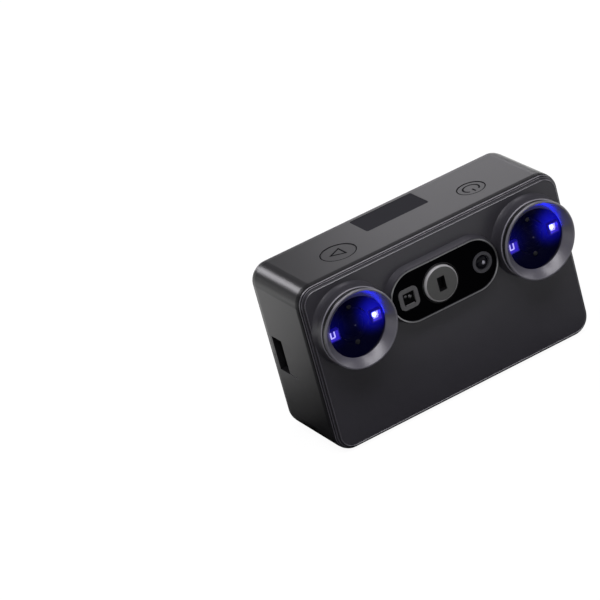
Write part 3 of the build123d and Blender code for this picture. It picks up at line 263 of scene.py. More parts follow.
def uneven(finish, factor, colour, spread):
    """A colour that wanders by a share to both sides of itself."""
    return finish.blend(factor, shade_of(colour, 1 - spread), shade_of(colour, 1 + spread))


print("finishes ready")

# %% [markdown]
# ## Floor
# The object stands on a plain sheet of paper. A disc with a low wall round it does that job: the
# wall closes the horizon, so a glossy face never mirrors an empty background.

# %% Floor
stage_radius = 3.5
stage_wall = 0.7
stage_sides = 64
floor_sink = 0.2

paper_sheet = bmesh.new()
bmesh.ops.create_circle(paper_sheet, cap_ends=True, segments=stage_sides, radius=stage_radius)
rim_edges = [edge for edge in paper_sheet.edges if edge.is_boundary]
wall_edges = bmesh.ops.extrude_edge_only(paper_sheet, edges=rim_edges)
wall_tops = [part for part in wall_edges["geom"] if isinstance(part, bmesh.types.BMVert)]
bmesh.ops.translate(paper_sheet, verts=wall_tops, vec=(0, 0, stage_wall))
floor_level = cad_box[0].z - floor_sink * MM
bmesh.ops.translate(paper_sheet, verts=paper_sheet.verts, vec=(0, 0, floor_level))
floor_mesh = bpy.data.meshes.new("floor")
paper_sheet.to_mesh(floor_mesh)
paper_sheet.free()
floor = bpy.data.objects.new("floor", floor_mesh)
scene.collection.objects.link(floor)
print("floor", stage_radius, "m round")

# %% [markdown]
# ## White paper and dark cards
# The ground of the photograph is plain white. Enough light for that would turn a black object
# grey, so the paper glows white for the camera and in reflections, while the light that it throws
# back on the object stays at a plain level. Close to the object the paper lies in its shade. An
# ambient occlusion node finds how much of the sky is hidden there, and dims the paper in
# reflections, so the sides of the case get darker towards the ground.
#
# A photographer lays dark cards beside a dark object, to keep its faces deep. Real cards would
# have to be hidden from the camera, so two of them are written into the mirrored light instead: a
# black one on the left, with a slanting edge, and a half-dark one in front on the right.

# %% Paper
paper_tone = 0.45
paper_rough = 0.9
sky_samples = 8
sky_reach = 0.30
sky_power = 12.0
shadow_share = 0.16
floor_glow = 1.13
left_card_edge = (-0.082, 0.042)
left_card_lean = (-0.886, -0.464)
right_card_span = (0.01, 0.09)
right_card_front = (-0.06, -0.03)
right_card_share = 0.5
card_fade = 0.05
card_end = 0.22

paper = Finish("white_paper")
paper.set(Base_Color=grey(paper_tone), Roughness=paper_rough, Specular_IOR_Level=0.0)
lit_paper = Shade(paper, paper.surface.outputs[0])
by_camera, by_gloss, by_glass = (
    paper.node("ShaderNodeLightPath", output=f"Is {ray} Ray")
    for ray in ("Camera", "Glossy", "Transmission"))
sky = paper.node("ShaderNodeAmbientOcclusion", {"samples": sky_samples}, {"Distance": sky_reach},
                 "AO")
card_reach = ((paper.along("X") - left_card_edge[0]) * left_card_lean[0]
              + (paper.along("Y") - left_card_edge[1]) * left_card_lean[1])
right_card = ((1 - paper.fade(paper.along("X"), *right_card_span))
              * paper.fade(paper.along("Y"), *right_card_front))
past_cards = 1 - paper.fade(paper.distance((0, 0, 0)), card_end, card_end + card_fade)
left_light = paper.fade(card_reach, -card_fade / 2, card_fade / 2).most(past_cards)
right_light = (1 - right_card_share * right_card).most(past_cards)
mirrored = sky ** sky_power * left_light * right_light
white_glow = paper.node("ShaderNodeEmission", sockets={
    "Color": paper.blend(by_camera, mirrored, grey(1.0)), "Strength": floor_glow})
shadowed = paper.node("ShaderNodeMixShader", sockets={
    0: shadow_share * by_camera, 1: white_glow, 2: lit_paper})
shown = paper.node("ShaderNodeMixShader", sockets={
    0: by_camera.most(by_gloss).most(by_glass), 1: lit_paper, 2: shadowed})
paper.connect(paper.output, {"Surface": shown})
floor_mesh.materials.append(paper.material)
print("paper with", len(paper.tree.nodes), "nodes")

# %% [markdown]
# ## Lamps of the studio
# Soft light comes from six panels. A low one behind lies where the top face mirrors it, so the top
# looks paler than the front. Two overhead draw the thin bright lines along the front edges, one
# behind on the left draws the stripe along the rounded corner, one in front lights the cones of
# the bezels, and one on the right lights the side with the covers. A lamp is usually set by its
# power, but what a glossy case mirrors is how bright the panel's face is, so the table gives that,
# and the power follows from it and from the panel's size. The world adds a faint even light.

# %% Studio lamps
lamp_tint = (0.975, 0.952, 1.0)
world_tint = (0.975, 0.955, 1.0, 1.0)
world_strength = 0.22
studio_panels = {  # direction, then distance, width and height in metres, and brightness
    "back_panel": ((0.48, 0.77, 0.41), 0.65, 0.23, 0.15, 1.9),
    "top_panel": ((0.36, 0.10, 0.93), 1.5, 0.5, 0.25, 9.0),
    "edge_panel": ((0.36, -0.40, 0.84), 1.5, 0.5, 0.3, 9.5),
    "corner_strip": ((-0.26, 0.832, 0.485), 1.6, 0.5, 0.4, 11.2),
    "right_panel": ((0.94, 0.10, 0.33), 1.2, 0.8, 0.5, 2.5),
    "front_panel": ((-0.20, -0.42, 0.88), 1.1, 0.9, 0.35, 8.0),
}


def add_lamp(name, place, aim, colour, power):
    """A panel of light at a place, which shines along an aim and isn't seen itself."""
    lamp = bpy.data.objects.new(name, bpy.data.lights.new(name, "AREA"))
    lamp.data.color = colour
    lamp.data.energy = power
    lamp.location = place
    lamp.rotation_mode = "QUATERNION"
    lamp.rotation_quaternion = aim.to_track_quat("-Z", "Y")
    lamp.visible_camera = False
    scene.collection.objects.link(lamp)
    return lamp.data


middle = (cad_box[0] + cad_box[1]) / 2
for panel_name, (direction, distance, width, height, brightness) in studio_panels.items():
    aim = -Vector(direction).normalized()
    power = math.pi * brightness * width * height
    panel = add_lamp(panel_name, middle - aim * distance, aim, lamp_tint, power)
    panel.shape = "RECTANGLE"
    panel.size = width
    panel.size_y = height

scene.world = bpy.data.worlds.new("studio")
scene.world.use_nodes = True
ambient = scene.world.node_tree.nodes["Background"]
ambient.inputs["Color"].default_value = world_tint
ambient.inputs["Strength"].default_value = world_strength
print("studio with", len(studio_panels), "panels")

# %% [markdown]
# ## Plastics
# The case is moulded in charcoal plastic with a fine spark-eroded grain, so it looks matt but
# still carries broad soft highlights. One flat colour would look like a drawing. A fine noise
# drives a shallow bump, and a coarse one makes colour and gloss wander a little, as they do where
# hands have touched the case. The front and back covers are the same plastic, painted paler to
# stand in for the light on them. The raised rims are painted paler still, as highlights, and the
# polished parts have faint wiping marks instead of a grain.

# %% Plastic finishes
patch_scale = 60.0
patch_detail = 3.0
grain_scale = 5200.0
grain_detail = 1.0
grain_depth = 0.004
grain_strength = 0.6
tone_spread = 0.07
rough_spread = 0.05
wipe_scale = 180.0
wipe_spread = 0.1
wipe_rough = (-0.02, 0.03)
charcoal = (0.012, 0.012, 0.013, 1.0)


def grained(name, colour, rough, grain=grain_depth):
    """A finish with a moulded grain: its colour, mean roughness and the grain's depth in mm."""
    finish = Finish(name)
    patches = finish.noise(patch_scale, patch_detail)
    grains = finish.noise(grain_scale, grain_detail)
    return finish.set(Base_Color=uneven(finish, patches, colour, tone_spread),
                      Roughness=finish.between(patches, rough - rough_spread, rough + rough_spread),
                      Normal=finish.bump(grains, grain * MM, grain_strength))


def moulded_plastic(name, colour, rough, specular, grain=grain_depth):
    """Fine-grained moulded plastic."""
    return grained(name, colour, rough, grain).set(Specular_IOR_Level=specular).material


def polished_black(name, colour, rough, specular):
    """Smooth black plastic or backed glass with faint wiping marks in its gloss."""
    finish = Finish(name)
    wipes = finish.noise(wipe_scale)
    low, high = (rough + change for change in wipe_rough)
    finish.set(Base_Color=uneven(finish, wipes, colour, wipe_spread),
               Roughness=finish.between(wipes, low, high), Specular_IOR_Level=specular)
    return finish.material


case_plastic = moulded_plastic("case_plastic", charcoal, rough=0.30, specular=0.32)
# Painted shade: a darker copy of the case plastic for the ring in the front gap.
gap_shade_plastic = moulded_plastic("gap_shade_plastic", (0.016, 0.0155, 0.018), rough=0.45, specular=0.20)
# Painted light: a paler copy of the charcoal case plastic, standing in for the light on the front
# and back covers.
front_lit_plastic = moulded_plastic("front_lit_plastic", (0.032, 0.031, 0.037), rough=0.36, specular=0.50)
# Painted highlight: a paler plastic for the rim rings, so that their edges draw bright lines.
rim_highlight_plastic = moulded_plastic("rim_highlight_plastic", (0.070, 0.068, 0.080), rough=0.33, specular=0.60)
# Near black for the inner parts. On the latches and the side port insert it also stands in for the
# shade of their recesses: a painted shade.
inner_black_and_shade = moulded_plastic("inner_black_and_shade", (0.005, 0.005, 0.006), rough=0.55, specular=0.10)
module_plastic = moulded_plastic("module_plastic", (0.045, 0.045, 0.050), rough=0.45, specular=0.25)
grip_plastic = moulded_plastic("grip_plastic", (0.050, 0.050, 0.053), rough=0.45, specular=0.3)
battery_wrap = moulded_plastic("battery_wrap", (0.020, 0.020, 0.022), rough=0.50, specular=0.3)
# Black of the engraved signs. The same black is a painted shadow in the button grooves and the
# screw sockets.
sign_and_shade_black = moulded_plastic("sign_and_shade_black", (0.003, 0.003, 0.004), rough=0.60, specular=0.03)
status_black = moulded_plastic("status_black", (0.022, 0.022, 0.025), rough=0.60, specular=0.01,
                               grain=0.002)
window_black = polished_black("window_black", (0.0004, 0.0004, 0.0008), rough=0.10, specular=0.01)
print("plastics ready")

# %% [markdown]
# ## Shell of the case
# The tube of the case is the same charcoal plastic, but a narrow band behind its front rim is
# matt, and looks black between two lit edges. A second material would end in a hard line. A coat
# carries the gloss instead, and its weight fades out over the band.

# %% Shell finish
shell_rough = 0.30
shell_specular = 0.02
shell_coat_index = 1.315
matt_band = (1.6, 3.8)
matt_share = 0.75

shell = grained("shell_plastic", charcoal, shell_rough)
shell_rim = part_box("mid_shell")[0].y
band = shell.fade(shell.along("Y"), *(shell_rim + reach * MM for reach in matt_band))
shell.set(Specular_IOR_Level=shell_specular, Coat_Weight=1 - matt_share * band,
          Coat_Roughness=shell_rough, Coat_IOR=shell_coat_index)
shell_plastic = shell.material
print("matt band", matt_band, "mm behind the rim")

# %% [markdown]
# ## Depth eye
# The small square eye in the window is grey with a black square in its middle. The solid is one
# plain block there, and two distances from its middle, one across and one upwards, mark the
# square in the material.

# %% Eye finish
eye_half = 2.45
eye_tones = (0.085, 0.105)
eye_black = 0.001
eye_grain = 900.0
eye_rough = 0.45
eye_specular = 0.03

depth_eye = Finish("depth_eye")
eye_middle = box_middle("depth_module")
eye_across = abs(depth_eye.along("X") - eye_middle.x) < eye_half * MM
eye_upwards = abs(depth_eye.along("Z") - eye_middle.z) < eye_half * MM
eye_rim = depth_eye.blend(depth_eye.noise(eye_grain), *map(grey, eye_tones))
depth_eye.set(Base_Color=depth_eye.blend(eye_across * eye_upwards, eye_rim, grey(eye_black)),
              Roughness=eye_rough, Specular_IOR_Level=eye_specular)
eye_plastic = depth_eye.material
print("eye", 2 * eye_half, "mm wide")

# %% [markdown]
# ## Metals
# The frame of the window is anodised, and the screws, pins and the tripod bush are plain steel:
# a fine even grain in colour and gloss is enough for parts this small. The chamfer lines of the
# barrels get a pale satin finish of their own, a painted highlight.

# %% Metal finishes
metal_grain = 900.0
metal_detail = 3.0
metal_spread = 0.1
metal_rough = (-0.04, 0.06)


def satin_metal(name, colour, rough, metallic=1.0):
    """Metal with a fine even grain."""
    finish = Finish(name)
    grains = finish.noise(metal_grain, metal_detail)
    low, high = (rough + change for change in metal_rough)
    finish.set(Base_Color=uneven(finish, grains, colour, metal_spread), Metallic=metallic,
               Roughness=finish.between(grains, low, high))
    return finish.material


steel = satin_metal("bright_steel", grey(0.55), rough=0.28)
dark_steel = satin_metal("dark_steel", grey(0.10), rough=0.40)
aluminium = satin_metal("plain_aluminium", grey(0.45), rough=0.38)
frame_metal = satin_metal("frame_anodised", (0.30, 0.30, 0.31), rough=0.28)
contact_metal = satin_metal("plated_contact", (0.72, 0.50, 0.20), rough=0.3)
tier_metal = satin_metal("tier_anodised", grey(0.03), rough=0.40)
# Painted highlight for the pale chamfer lines of the barrels.
highlight_edge_finish = satin_metal("painted_edge_highlight", (0.165, 0.162, 0.185), rough=0.40, metallic=0.0)
print("metals ready")

# %% [markdown]
# ## Projector disc
# The disc in the window was faced on a lathe, so its face carries fine rings. Its rounded edge is
# painted a paler grey than the face, a painted highlight that the lamps light into crescents. A
# sine of the distance from the axis gives the rings, and the same distance tells the face from the
# edge.

# %% Disc finish
disc_face_radius = 6.6
disc_face_tone = 0.11
# The edge's paler tone is a painted highlight.
disc_edge_highlight_tone = 0.30
disc_rough = 0.40
ring_pitch = 0.22
ring_depth = 0.006
ring_strength = 0.5

disc = Finish("projector_disc")
disc_middle = box_middle("projector_ring")
disc_radius = disc.radius(disc_middle.x, disc_middle.z)
on_face = disc_radius < disc_face_radius * MM
tool_rings = (disc_radius * (2 * math.pi / (ring_pitch * MM))).sine() * on_face
disc.set(Base_Color=disc.blend(on_face, grey(disc_edge_highlight_tone), grey(disc_face_tone)),
         Metallic=on_face, Roughness=disc_rough,
         Normal=disc.bump(tool_rings, ring_depth * MM, ring_strength))
disc_metal = disc.material
print("disc with a ring every", ring_pitch, "mm")

# %% [markdown]
# ## Glass and screen
# The cover glass of each camera is dark and tinted: what lies behind it is nearly black until a
# lamp is lit. A thin clear coat of black lets the lamps show through and stays clean at few
# samples, where refraction would turn to noise. The screen is glass bonded on black, so a glossy
# opaque surface does the same job: the area of the picture is only a little paler than its border.

# %% Glass finishes
cover_density = 0.25
cover_smears = 140.0
cover_rough = (0.02, 0.05)
cover_specular = 0.05
picture_middle = Vector((0.4, 0, 36.4)) * MM
picture_half = (38.6, 21.7)
picture_black = (0.013, 0.013, 0.015, 1.0)
border_black = (0.004, 0.004, 0.005, 1.0)
screen_smears = 70.0
screen_detail = 3.0
screen_rough = (0.06, 0.12)
screen_specular = 0.25

smoked = Finish("smoked_cover_glass")
smoked.set(Base_Color=(0.001, 0.001, 0.004, 1.0), Specular_IOR_Level=cover_specular,
           Roughness=smoked.between(smoked.noise(cover_smears), *cover_rough), Alpha=cover_density)
cover_glass = smoked.material

screen = Finish("bonded_screen")
picture_across = abs(screen.along("X") - picture_middle.x) < picture_half[0] * MM
picture_upwards = abs(screen.along("Z") - picture_middle.z) < picture_half[1] * MM
picture = screen.blend(picture_across * picture_upwards, border_black, picture_black)
smears = screen.noise(screen_smears, screen_detail)
screen.set(Base_Color=picture, Roughness=screen.between(smears, *screen_rough),
           Specular_IOR_Level=screen_specular)
screen_finish = screen.material

coated_glass = polished_black("coated_lens", (0.002, 0.002, 0.004), rough=0.06, specular=0.10)
bead_glass = polished_black("bead_lens", (0.002, 0.002, 0.004), rough=0.08, specular=1.0)
bright_bead = satin_metal("bright_bead", (0.30, 0.30, 0.34), rough=0.10, metallic=0.5)
print("glass ready")

# %% [markdown]
# ## Boards and films
# Inside are printed boards and amber flat cables. They show only through the glass or with a cover
# open, but each still gets its own finish: a brick pattern with thin joints is a quick way to a
# grid of tracks under solder mask.

# %% Board finishes
board_green = (0.012, 0.035, 0.022, 1.0)
track_factor = 1.8
track_scale = 260.0
track_width = 0.08
mask_scale = 300.0
mask_rough = (0.32, 0.45)

board = Finish("board_mask")
tracks = board.node("ShaderNodeTexBrick", sockets={
    "Vector": board.place(), "Scale": track_scale, "Mortar Size": track_width,
    "Color1": board_green, "Color2": board_green, "Mortar": shade_of(board_green, track_factor)})
board.set(Base_Color=tracks, Roughness=board.between(board.noise(mask_scale), *mask_rough))
board_mask = board.material
amber_film = moulded_plastic("amber_film", (0.30, 0.12, 0.02), rough=0.35, specular=0.4)
print("boards ready")

# %% [markdown]
# ## Light of the lamps
# Two blue lamps are lit behind each cover glass. The eye sees three things: a chip so bright that
# it turns white, a blue halo on the black board round it, and a blue gleam on the cone in front.
# The chip is a strong saturated emission, because clipping turns it white by itself. The halo
# is a painted glow: an emission in the board's material that fades with the distance from the
# lamps. The lenses behind the glass share this material and glow with it.
# The lamps of both cameras are alike, so one size holds for all.

# %% Lamp places and halos
halo_lift = Vector((0, 0, 1.3)) * MM
halo_near = 1.5
halo_far = 11.5
halo_shares = (0.35, 1.0)
halo_power = 2.0
halo_blue = (0.01, 0.01, 0.75, 1.0)
halo_black = (0.0, 0.0, 0.010, 1.0)
lamp_board_tones = (0.001, 0.002)
lamp_board_grain = 400.0
lamp_board_rough = 0.6
lamp_board_specular = 0.05

lamp_places = {}
for side in ("left", "right"):
    low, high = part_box(f"{side}_leds")
    lamp_size = high.z - low.z
    lamp_height = high.y - low.y
    lamp_places[side] = [Vector((x, low.y, (low.z + high.z) / 2))
                         for x in (low.x + lamp_size / 2, high.x - lamp_size / 2)]


def painted_glow_board(side):
    """Black lamp board with a painted blue glow round each lamp."""
    finish = Finish(f"{side}_painted_glow_board")
    left, right = (finish.fade(finish.distance(place + halo_lift), halo_near * MM, halo_far * MM)
                   for place in lamp_places[side])
    halo = (left * halo_shares[0] + right * halo_shares[1]) ** halo_power
    black = finish.blend(finish.noise(lamp_board_grain), *map(grey, lamp_board_tones))
    finish.set(Base_Color=black, Roughness=lamp_board_rough, Emission_Strength=1.0,
               Specular_IOR_Level=lamp_board_specular,
               Emission_Color=finish.blend(halo, halo_black, halo_blue))
    return finish.material


painted_glow_boards = {side: painted_glow_board(side) for side in lamp_places}
print("lamps", round(lamp_size / MM, 2), "mm wide at", lamp_places)

# %% [markdown]
# ## Lit surfaces and the gleam
# The parts of a lamp differ only in colour and strength, so one helper makes their finishes. The
# gleam could be painted on the cone, but it would stay there in every view. A tiny blue panel in
# front of the brighter lamp is real light instead, and the cone mirrors it.

# %% Lit finishes and gleams
emitter_tone = 0.02
emitter_rough = 0.5
emitter_grain = 900.0
emitter_dim_share = 0.9
gleam_size = 3.0
gleam_power = 0.0013
gleam_lift = 0.1
gleam_aim = Vector((0.0, -0.24, 0.97))
gleam_blue = (0.0, 0.01, 1.0)


def lamp_emitter(name, colour, strength):
    """A lit surface with a slight unevenness."""
    finish = Finish(name)
    light = finish.blend(finish.noise(emitter_grain), shade_of(colour, emitter_dim_share),
                         shade_of(colour, 1))
    finish.set(Base_Color=grey(emitter_tone), Roughness=emitter_rough, Emission_Color=light,
               Emission_Strength=strength)
    return finish.material


lamp_core = lamp_emitter("lamp_core", (0.10, 0.11, 1.0), strength=22.0)
lamp_mark = lamp_emitter("lamp_mark", (0.42, 0.38, 1.0), strength=2.4)
# The walls, floor and body of the cups are no lamps: their emission is a painted glow of the chip's
# light.
painted_wall_glow = lamp_emitter("painted_wall_glow", (0.05, 0.02, 1.0), strength=0.9)
painted_floor_glow = lamp_emitter("painted_floor_glow", (0.06, 0.03, 1.0), strength=0.6)
painted_body_glow = lamp_emitter("painted_body_glow", (0.02, 0.01, 1.0), strength=0.35)
for side, places in lamp_places.items():
    gleam_place = places[1] - Vector((0, gleam_lift * MM, 0))
    gleam = add_lamp(f"{side}_gleam", gleam_place, gleam_aim, gleam_blue, gleam_power)
    gleam.size = gleam_size * MM
print("lamp light ready")

# %% [markdown]
# ## Making a piece
# Every new piece starts as a bmesh. One helper welds it, turns its faces outwards, gives it a
# finish and lets it ride on a body of the solid model. Round pieces are a section spun about an
# axis, and flat ones are an outline that is inset and thickened.

# %% Adding a piece
weld = 0.002


def add_piece(name, shape, finish, body, replaced=(), sharp=40):
    """Makes an object of a shape; it rides on a body and may stand for nodes of the solid model."""
    bmesh.ops.remove_doubles(shape, verts=shape.verts, dist=weld * MM)
    bmesh.ops.recalc_face_normals(shape, faces=shape.faces)
    mesh = bpy.data.meshes.new(name)
    shape.to_mesh(mesh)
    shape.free()
    mesh.shade_smooth()
    mesh.set_sharp_from_angle(angle=math.radians(sharp))
    for material in finish if isinstance(finish, tuple) else (finish,):
        mesh.materials.append(material)
    piece = bpy.data.objects.new(name, mesh)
    scene.collection.objects.link(piece)
    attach(piece, body)
    if replaced:
        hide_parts(*replaced)
    print(name, len(mesh.polygons), "faces")


print("pieces are welded at", weld, "mm")


# %% Shaping a piece
def spin_section(section, centre, rounding=0, steps=96):
    """Spins a section about the depth; it is given in mm, as radius and distance behind a point."""
    shape = bmesh.new()
    points = [shape.verts.new(centre + Vector((radius, behind, 0)) * MM)
              for radius, behind in section]
    for first, second in zip(points, points[1:] + points[:1]):
        shape.edges.new((first, second))
    if rounding:
        bmesh.ops.bevel(shape, geom=points, offset=rounding * MM, segments=3, profile=0.5,
                        affect="VERTICES", material=-1)
    bmesh.ops.spin(shape, geom=list(shape.verts) + list(shape.edges), cent=centre, axis=(0, 1, 0),
                   angle=2 * math.pi, steps=steps, use_merge=True)
    return shape


def box_at(shape, middle_point, size):
    """Adds a box of a size round a point."""
    stretch = Matrix.Diagonal((*size, 1.0))
    bmesh.ops.create_cube(shape, size=1.0, matrix=Matrix.Translation(middle_point) @ stretch)


def thicken(shape, thickness):
    """Gives flat faces a thickness along -Z, and closes the sides."""
    made = bmesh.ops.extrude_face_region(shape, geom=list(shape.faces))
    lower = [part for part in made["geom"] if isinstance(part, bmesh.types.BMVert)]
    bmesh.ops.translate(shape, verts=lower, vec=(0, 0, -thickness * MM))
    bmesh.ops.recalc_face_normals(shape, faces=shape.faces)


def slab(corners, top, thickness):
    """A flat outline at a height, thickened downwards."""
    shape = bmesh.new()
    shape.faces.new([shape.verts.new((x, y, top)) for x, y in corners])
    thicken(shape, thickness)
    return shape


def hollow(shape, width):
    """Turns each flat face into a frame of a width."""
    inner = list(shape.faces)
    bmesh.ops.inset_individual(shape, faces=inner, thickness=width * MM, use_even_offset=True)
    bmesh.ops.delete(shape, geom=inner, context="FACES_ONLY")


def soften(shape, offset, segments, angle=35):
    """Rounds every sharp edge a little."""
    edges = [edge for edge in shape.edges
             if edge.is_manifold and edge.calc_face_angle() > math.radians(angle)]
    bmesh.ops.bevel(shape, geom=edges, offset=offset * MM, segments=segments, profile=0.5,
                    affect="EDGES", material=-1)


def facing_front(place):
    """Turns a shape drawn in the XY plane so that it looks along -Y, and moves it to a place."""
    return Matrix.Translation(place) @ Matrix.Rotation(math.radians(90), 4, "X")


print("shaping helpers ready")

# %% [markdown]
# ## Camera bezels
# Each camera sits behind a turned ring: a spigot in the barrel, a grooved neck, and a lip with a
# wide cone inside that catches the light. The solid model has its section with sharp corners. Here
# the same section is rounded at every corner and spun, so the edges draw thin bright arcs. The
# neck and the rear of the lip are painted black as the shade in the groove, the cone is satin, and
# the lip is painted a little brighter as a highlight: the finish takes its tone from the distance
# to the axis and from the depth.

# %% Bezel rings
bezel_section = ((13.3, 4.8), (13.3, 3.15), (14.3, 3.15), (14.3, 2.4), (15.2, 2.4), (15.2, 2.1),
                 (14.3, 2.1), (14.3, 1.35), (15.53, 1.35), (15.53, 0.35), (15.18, 0.0),
                 (14.78, 0.0), (11.85, 3.3), (11.85, 3.5), (12.45, 3.5), (12.45, 4.8))
bezel_rounding = 0.08
bezel_steps = 128
lip_start = 14.65
neck_start = (14.27, 0.7)
# The lip's paler tone is a painted highlight, and the neck's black a painted shade in its groove.
lip_highlight_colour = (0.108, 0.106, 0.123, 1.0)
cone_colour = (0.085, 0.083, 0.097, 1.0)
neck_shade_tone = 0.004
bezel_rough = (0.28, 0.35)
bezel_specular = 0.6


def bezel_finish(name, tip):
    """A satin cone, a lip painted paler as a highlight and a neck painted black as shade, each at
    its own distance from the axis.
    """
    finish = Finish(name)
    radius = finish.radius(tip.x, tip.z)
    lip_highlight_tone = finish.blend(radius < lip_start * MM, lip_highlight_colour, cone_colour)
    neck = (radius > neck_start[0] * MM) * (finish.along("Y") > tip.y + neck_start[1] * MM)
    grains = finish.noise(metal_grain, metal_detail)
    finish.set(Base_Color=finish.blend(neck, lip_highlight_tone, grey(neck_shade_tone)),
               Roughness=finish.between(grains, *bezel_rough), Specular_IOR_Level=bezel_specular)
    return finish.material


for side in lamp_places:
    tip = front_middle(f"{side}_bezel_ring")
    bezel = spin_section(bezel_section, tip, bezel_rounding, bezel_steps)
    bezel_metal = bezel_finish(f"{side}_bezel_anodised", tip)
    add_piece(f"{side}_bezel", bezel, bezel_metal, "body", (f"{side}_bezel_ring",))

# %% [markdown]
# ## Edges of the barrels
# The front cover carries a barrel for each bezel, and the chamfer at its mouth shows as one thin
# pale line. The chamfer is in the solid, but it shares the finish of the whole cover. A sliver of a
# ring, spun just proud of the chamfer, gives the line a paler finish of its own: a painted
# highlight on top of the light that the chamfer catches.

# %% Barrel lines
barrel_radius = 15.46
barrel_edge = 0.3
barrel_back = 3.15
line_proud = 0.03
line_section = ((barrel_radius + line_proud, barrel_edge),
                (barrel_radius - barrel_edge, -line_proud),
                (barrel_radius - barrel_edge, line_proud),
                (barrel_radius - line_proud, barrel_edge))
for side in lamp_places:
    mouth = front_middle(f"{side}_bezel_ring") + Vector((0, barrel_back * MM, 0))
    line = spin_section(line_section, mouth, steps=bezel_steps)
    add_piece(f"{side}_barrel_line", line, highlight_edge_finish, "body")

# %% [markdown]
# ## Lamps
# A lamp is a square ceramic cup. A cube becomes the cup by insetting its front face twice: once
# for the rim, and once with a depth for the sloped walls. The walls, the floor and the body of the
# cup carry a painted violet glow, for the chip's light that falls on them. On the floor of each
# right-hand cup is a white chip with bright lines beside and below it, and on that of each
# left-hand cup a bright frame that is open at the top. The chip is round, because its glare
# hides the corners.

# %% Lamp cups
cup_rim = 0.45
cup_slope = 0.5
cup_depth = 1.4
faces_front = -0.9


def lamp_cups(places):
    """The cups of one camera, with their walls and floors in finishes of their own."""
    cups = bmesh.new()
    for place in places:
        cup_middle = place + Vector((0, lamp_height / 2, 0))
        box_at(cups, cup_middle, (lamp_size, lamp_height, lamp_size))
    floors = [face for face in cups.faces if face.normal.y < faces_front]
    bmesh.ops.inset_individual(cups, faces=floors, thickness=cup_rim * MM, use_even_offset=True)
    walls = bmesh.ops.inset_individual(cups, faces=floors, thickness=cup_slope * MM,
                                       depth=-cup_depth * MM, use_even_offset=True)["faces"]
    for index, faces in enumerate((walls, floors), start=1):
        for face in faces:
            face.material_index = index
    return cups


print("cups", cup_depth, "mm deep")

# %% Lamp marks and chips
mark_depth = 0.25
left_marks = {  # place across and upwards, then width and height
    "left_bar": (-0.85, 0.0, 0.45, 2.7), "right_bar": (0.75, 0.1, 0.42, 2.5),
    "low_bar": (0.0, -1.2, 1.4, 0.35)}
right_marks = {
    "near_bar": (0.75, 0.25, 0.22, 2.2), "side_bar": (1.15, 0.25, 0.22, 2.2),
    "low_bar": (0.0, -1.2, 2.0, 0.28)}
chip_place = (-0.35, 0.25)
chip_radius = 0.95
chip_stretch = 1.2


def lamp_marks(places):
    """The bright lines on the floors of both cups."""
    marks = bmesh.new()
    for place, table in zip(places, (left_marks, right_marks)):
        for shift_x, shift_z, width, height in table.values():
            mark_middle = place + Vector((shift_x, cup_depth - mark_depth / 2, shift_z)) * MM
            box_at(marks, mark_middle, Vector((width, mark_depth, height)) * MM)
    return marks


def lamp_chip(place):
    """The round white chip of one lamp."""
    chip = bmesh.new()
    bmesh.ops.create_circle(chip, cap_ends=True, segments=32, radius=chip_radius * MM)
    bmesh.ops.scale(chip, verts=chip.verts, vec=(1, chip_stretch, 1))
    thicken(chip, mark_depth)
    shift = Vector((chip_place[0], cup_depth - mark_depth, chip_place[1])) * MM
    chip.transform(facing_front(place + shift))
    return chip


cup_finishes = (painted_body_glow, painted_wall_glow, painted_floor_glow)
for side, places in lamp_places.items():
    add_piece(f"{side}_lamp_cups", lamp_cups(places), cup_finishes, "body",
              (f"{side}_leds",))
    add_piece(f"{side}_lamp_marks", lamp_marks(places), lamp_mark, "body")
    add_piece(f"{side}_lamp_chip", lamp_chip(places[1]), lamp_core, "body")

# %% [markdown]
# ## Frame of the sensor window
# A thin bright frame runs round the black panel. It starts as a circle whose halves are moved
# apart, which makes a pill. Three insets raise a narrow ridge from it: up, along the top, and down
# again. A swept section would need the pill's path as a curve, and would meet itself at a seam.

# %% Window frame
frame_slope = 0.22
frame_land = 0.20
frame_step = 0.12
pill_sides = 96
low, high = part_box("window_frame")
pill_radius = (high.z - low.z) / 2
pill_shift = (high.x - low.x) / 2 - pill_radius
pill = bmesh.new()
bmesh.ops.create_circle(pill, cap_ends=True, segments=pill_sides, radius=pill_radius,
                        matrix=Matrix.Rotation(math.pi / pill_sides, 4, "Z"))
for vert in pill.verts:
    vert.co.x += math.copysign(pill_shift, vert.co.x)
frame_back = box_middle("window_frame")
frame_back.y = high.y
pill.transform(facing_front(frame_back))
bmesh.ops.recalc_face_normals(pill, faces=pill.faces)
land = list(pill.faces)
if land[0].normal.y > 0:
    bmesh.ops.reverse_faces(pill, faces=land)
raised = bmesh.ops.extrude_discrete_faces(pill, faces=land)["faces"]
bmesh.ops.translate(pill, verts=raised[0].verts, vec=(0, low.y - high.y + frame_step * MM, 0))
for inset, rise in ((frame_slope, frame_step), (frame_land, 0), (frame_slope, -frame_step)):
    bmesh.ops.inset_individual(pill, faces=raised, thickness=inset * MM, depth=rise * MM,
                               use_even_offset=True)
bmesh.ops.delete(pill, geom=raised, context="FACES_ONLY")
add_piece("window_frame_line", pill, frame_metal, "body", ("window_frame",), sharp=20)

# %% [markdown]
# ## Domed lenses
# A flat disc of glass mirrors one direction and stays black in all others. A dome gathers the
# reflection of a whole lamp into one glint, so each camera lens becomes a flattened sphere with a
# small bright bead in it.


# %% Camera lenses
def dome(shape, front, radius, rise):
    """A flat dome that bulges forwards from a point."""
    flat = Matrix.Diagonal((radius * MM, rise * MM, radius * MM, 1.0))
    bmesh.ops.create_uvsphere(shape, u_segments=48, v_segments=24, radius=1.0,
                              matrix=Matrix.Translation(front) @ flat @ facing_front((0, 0, 0)))


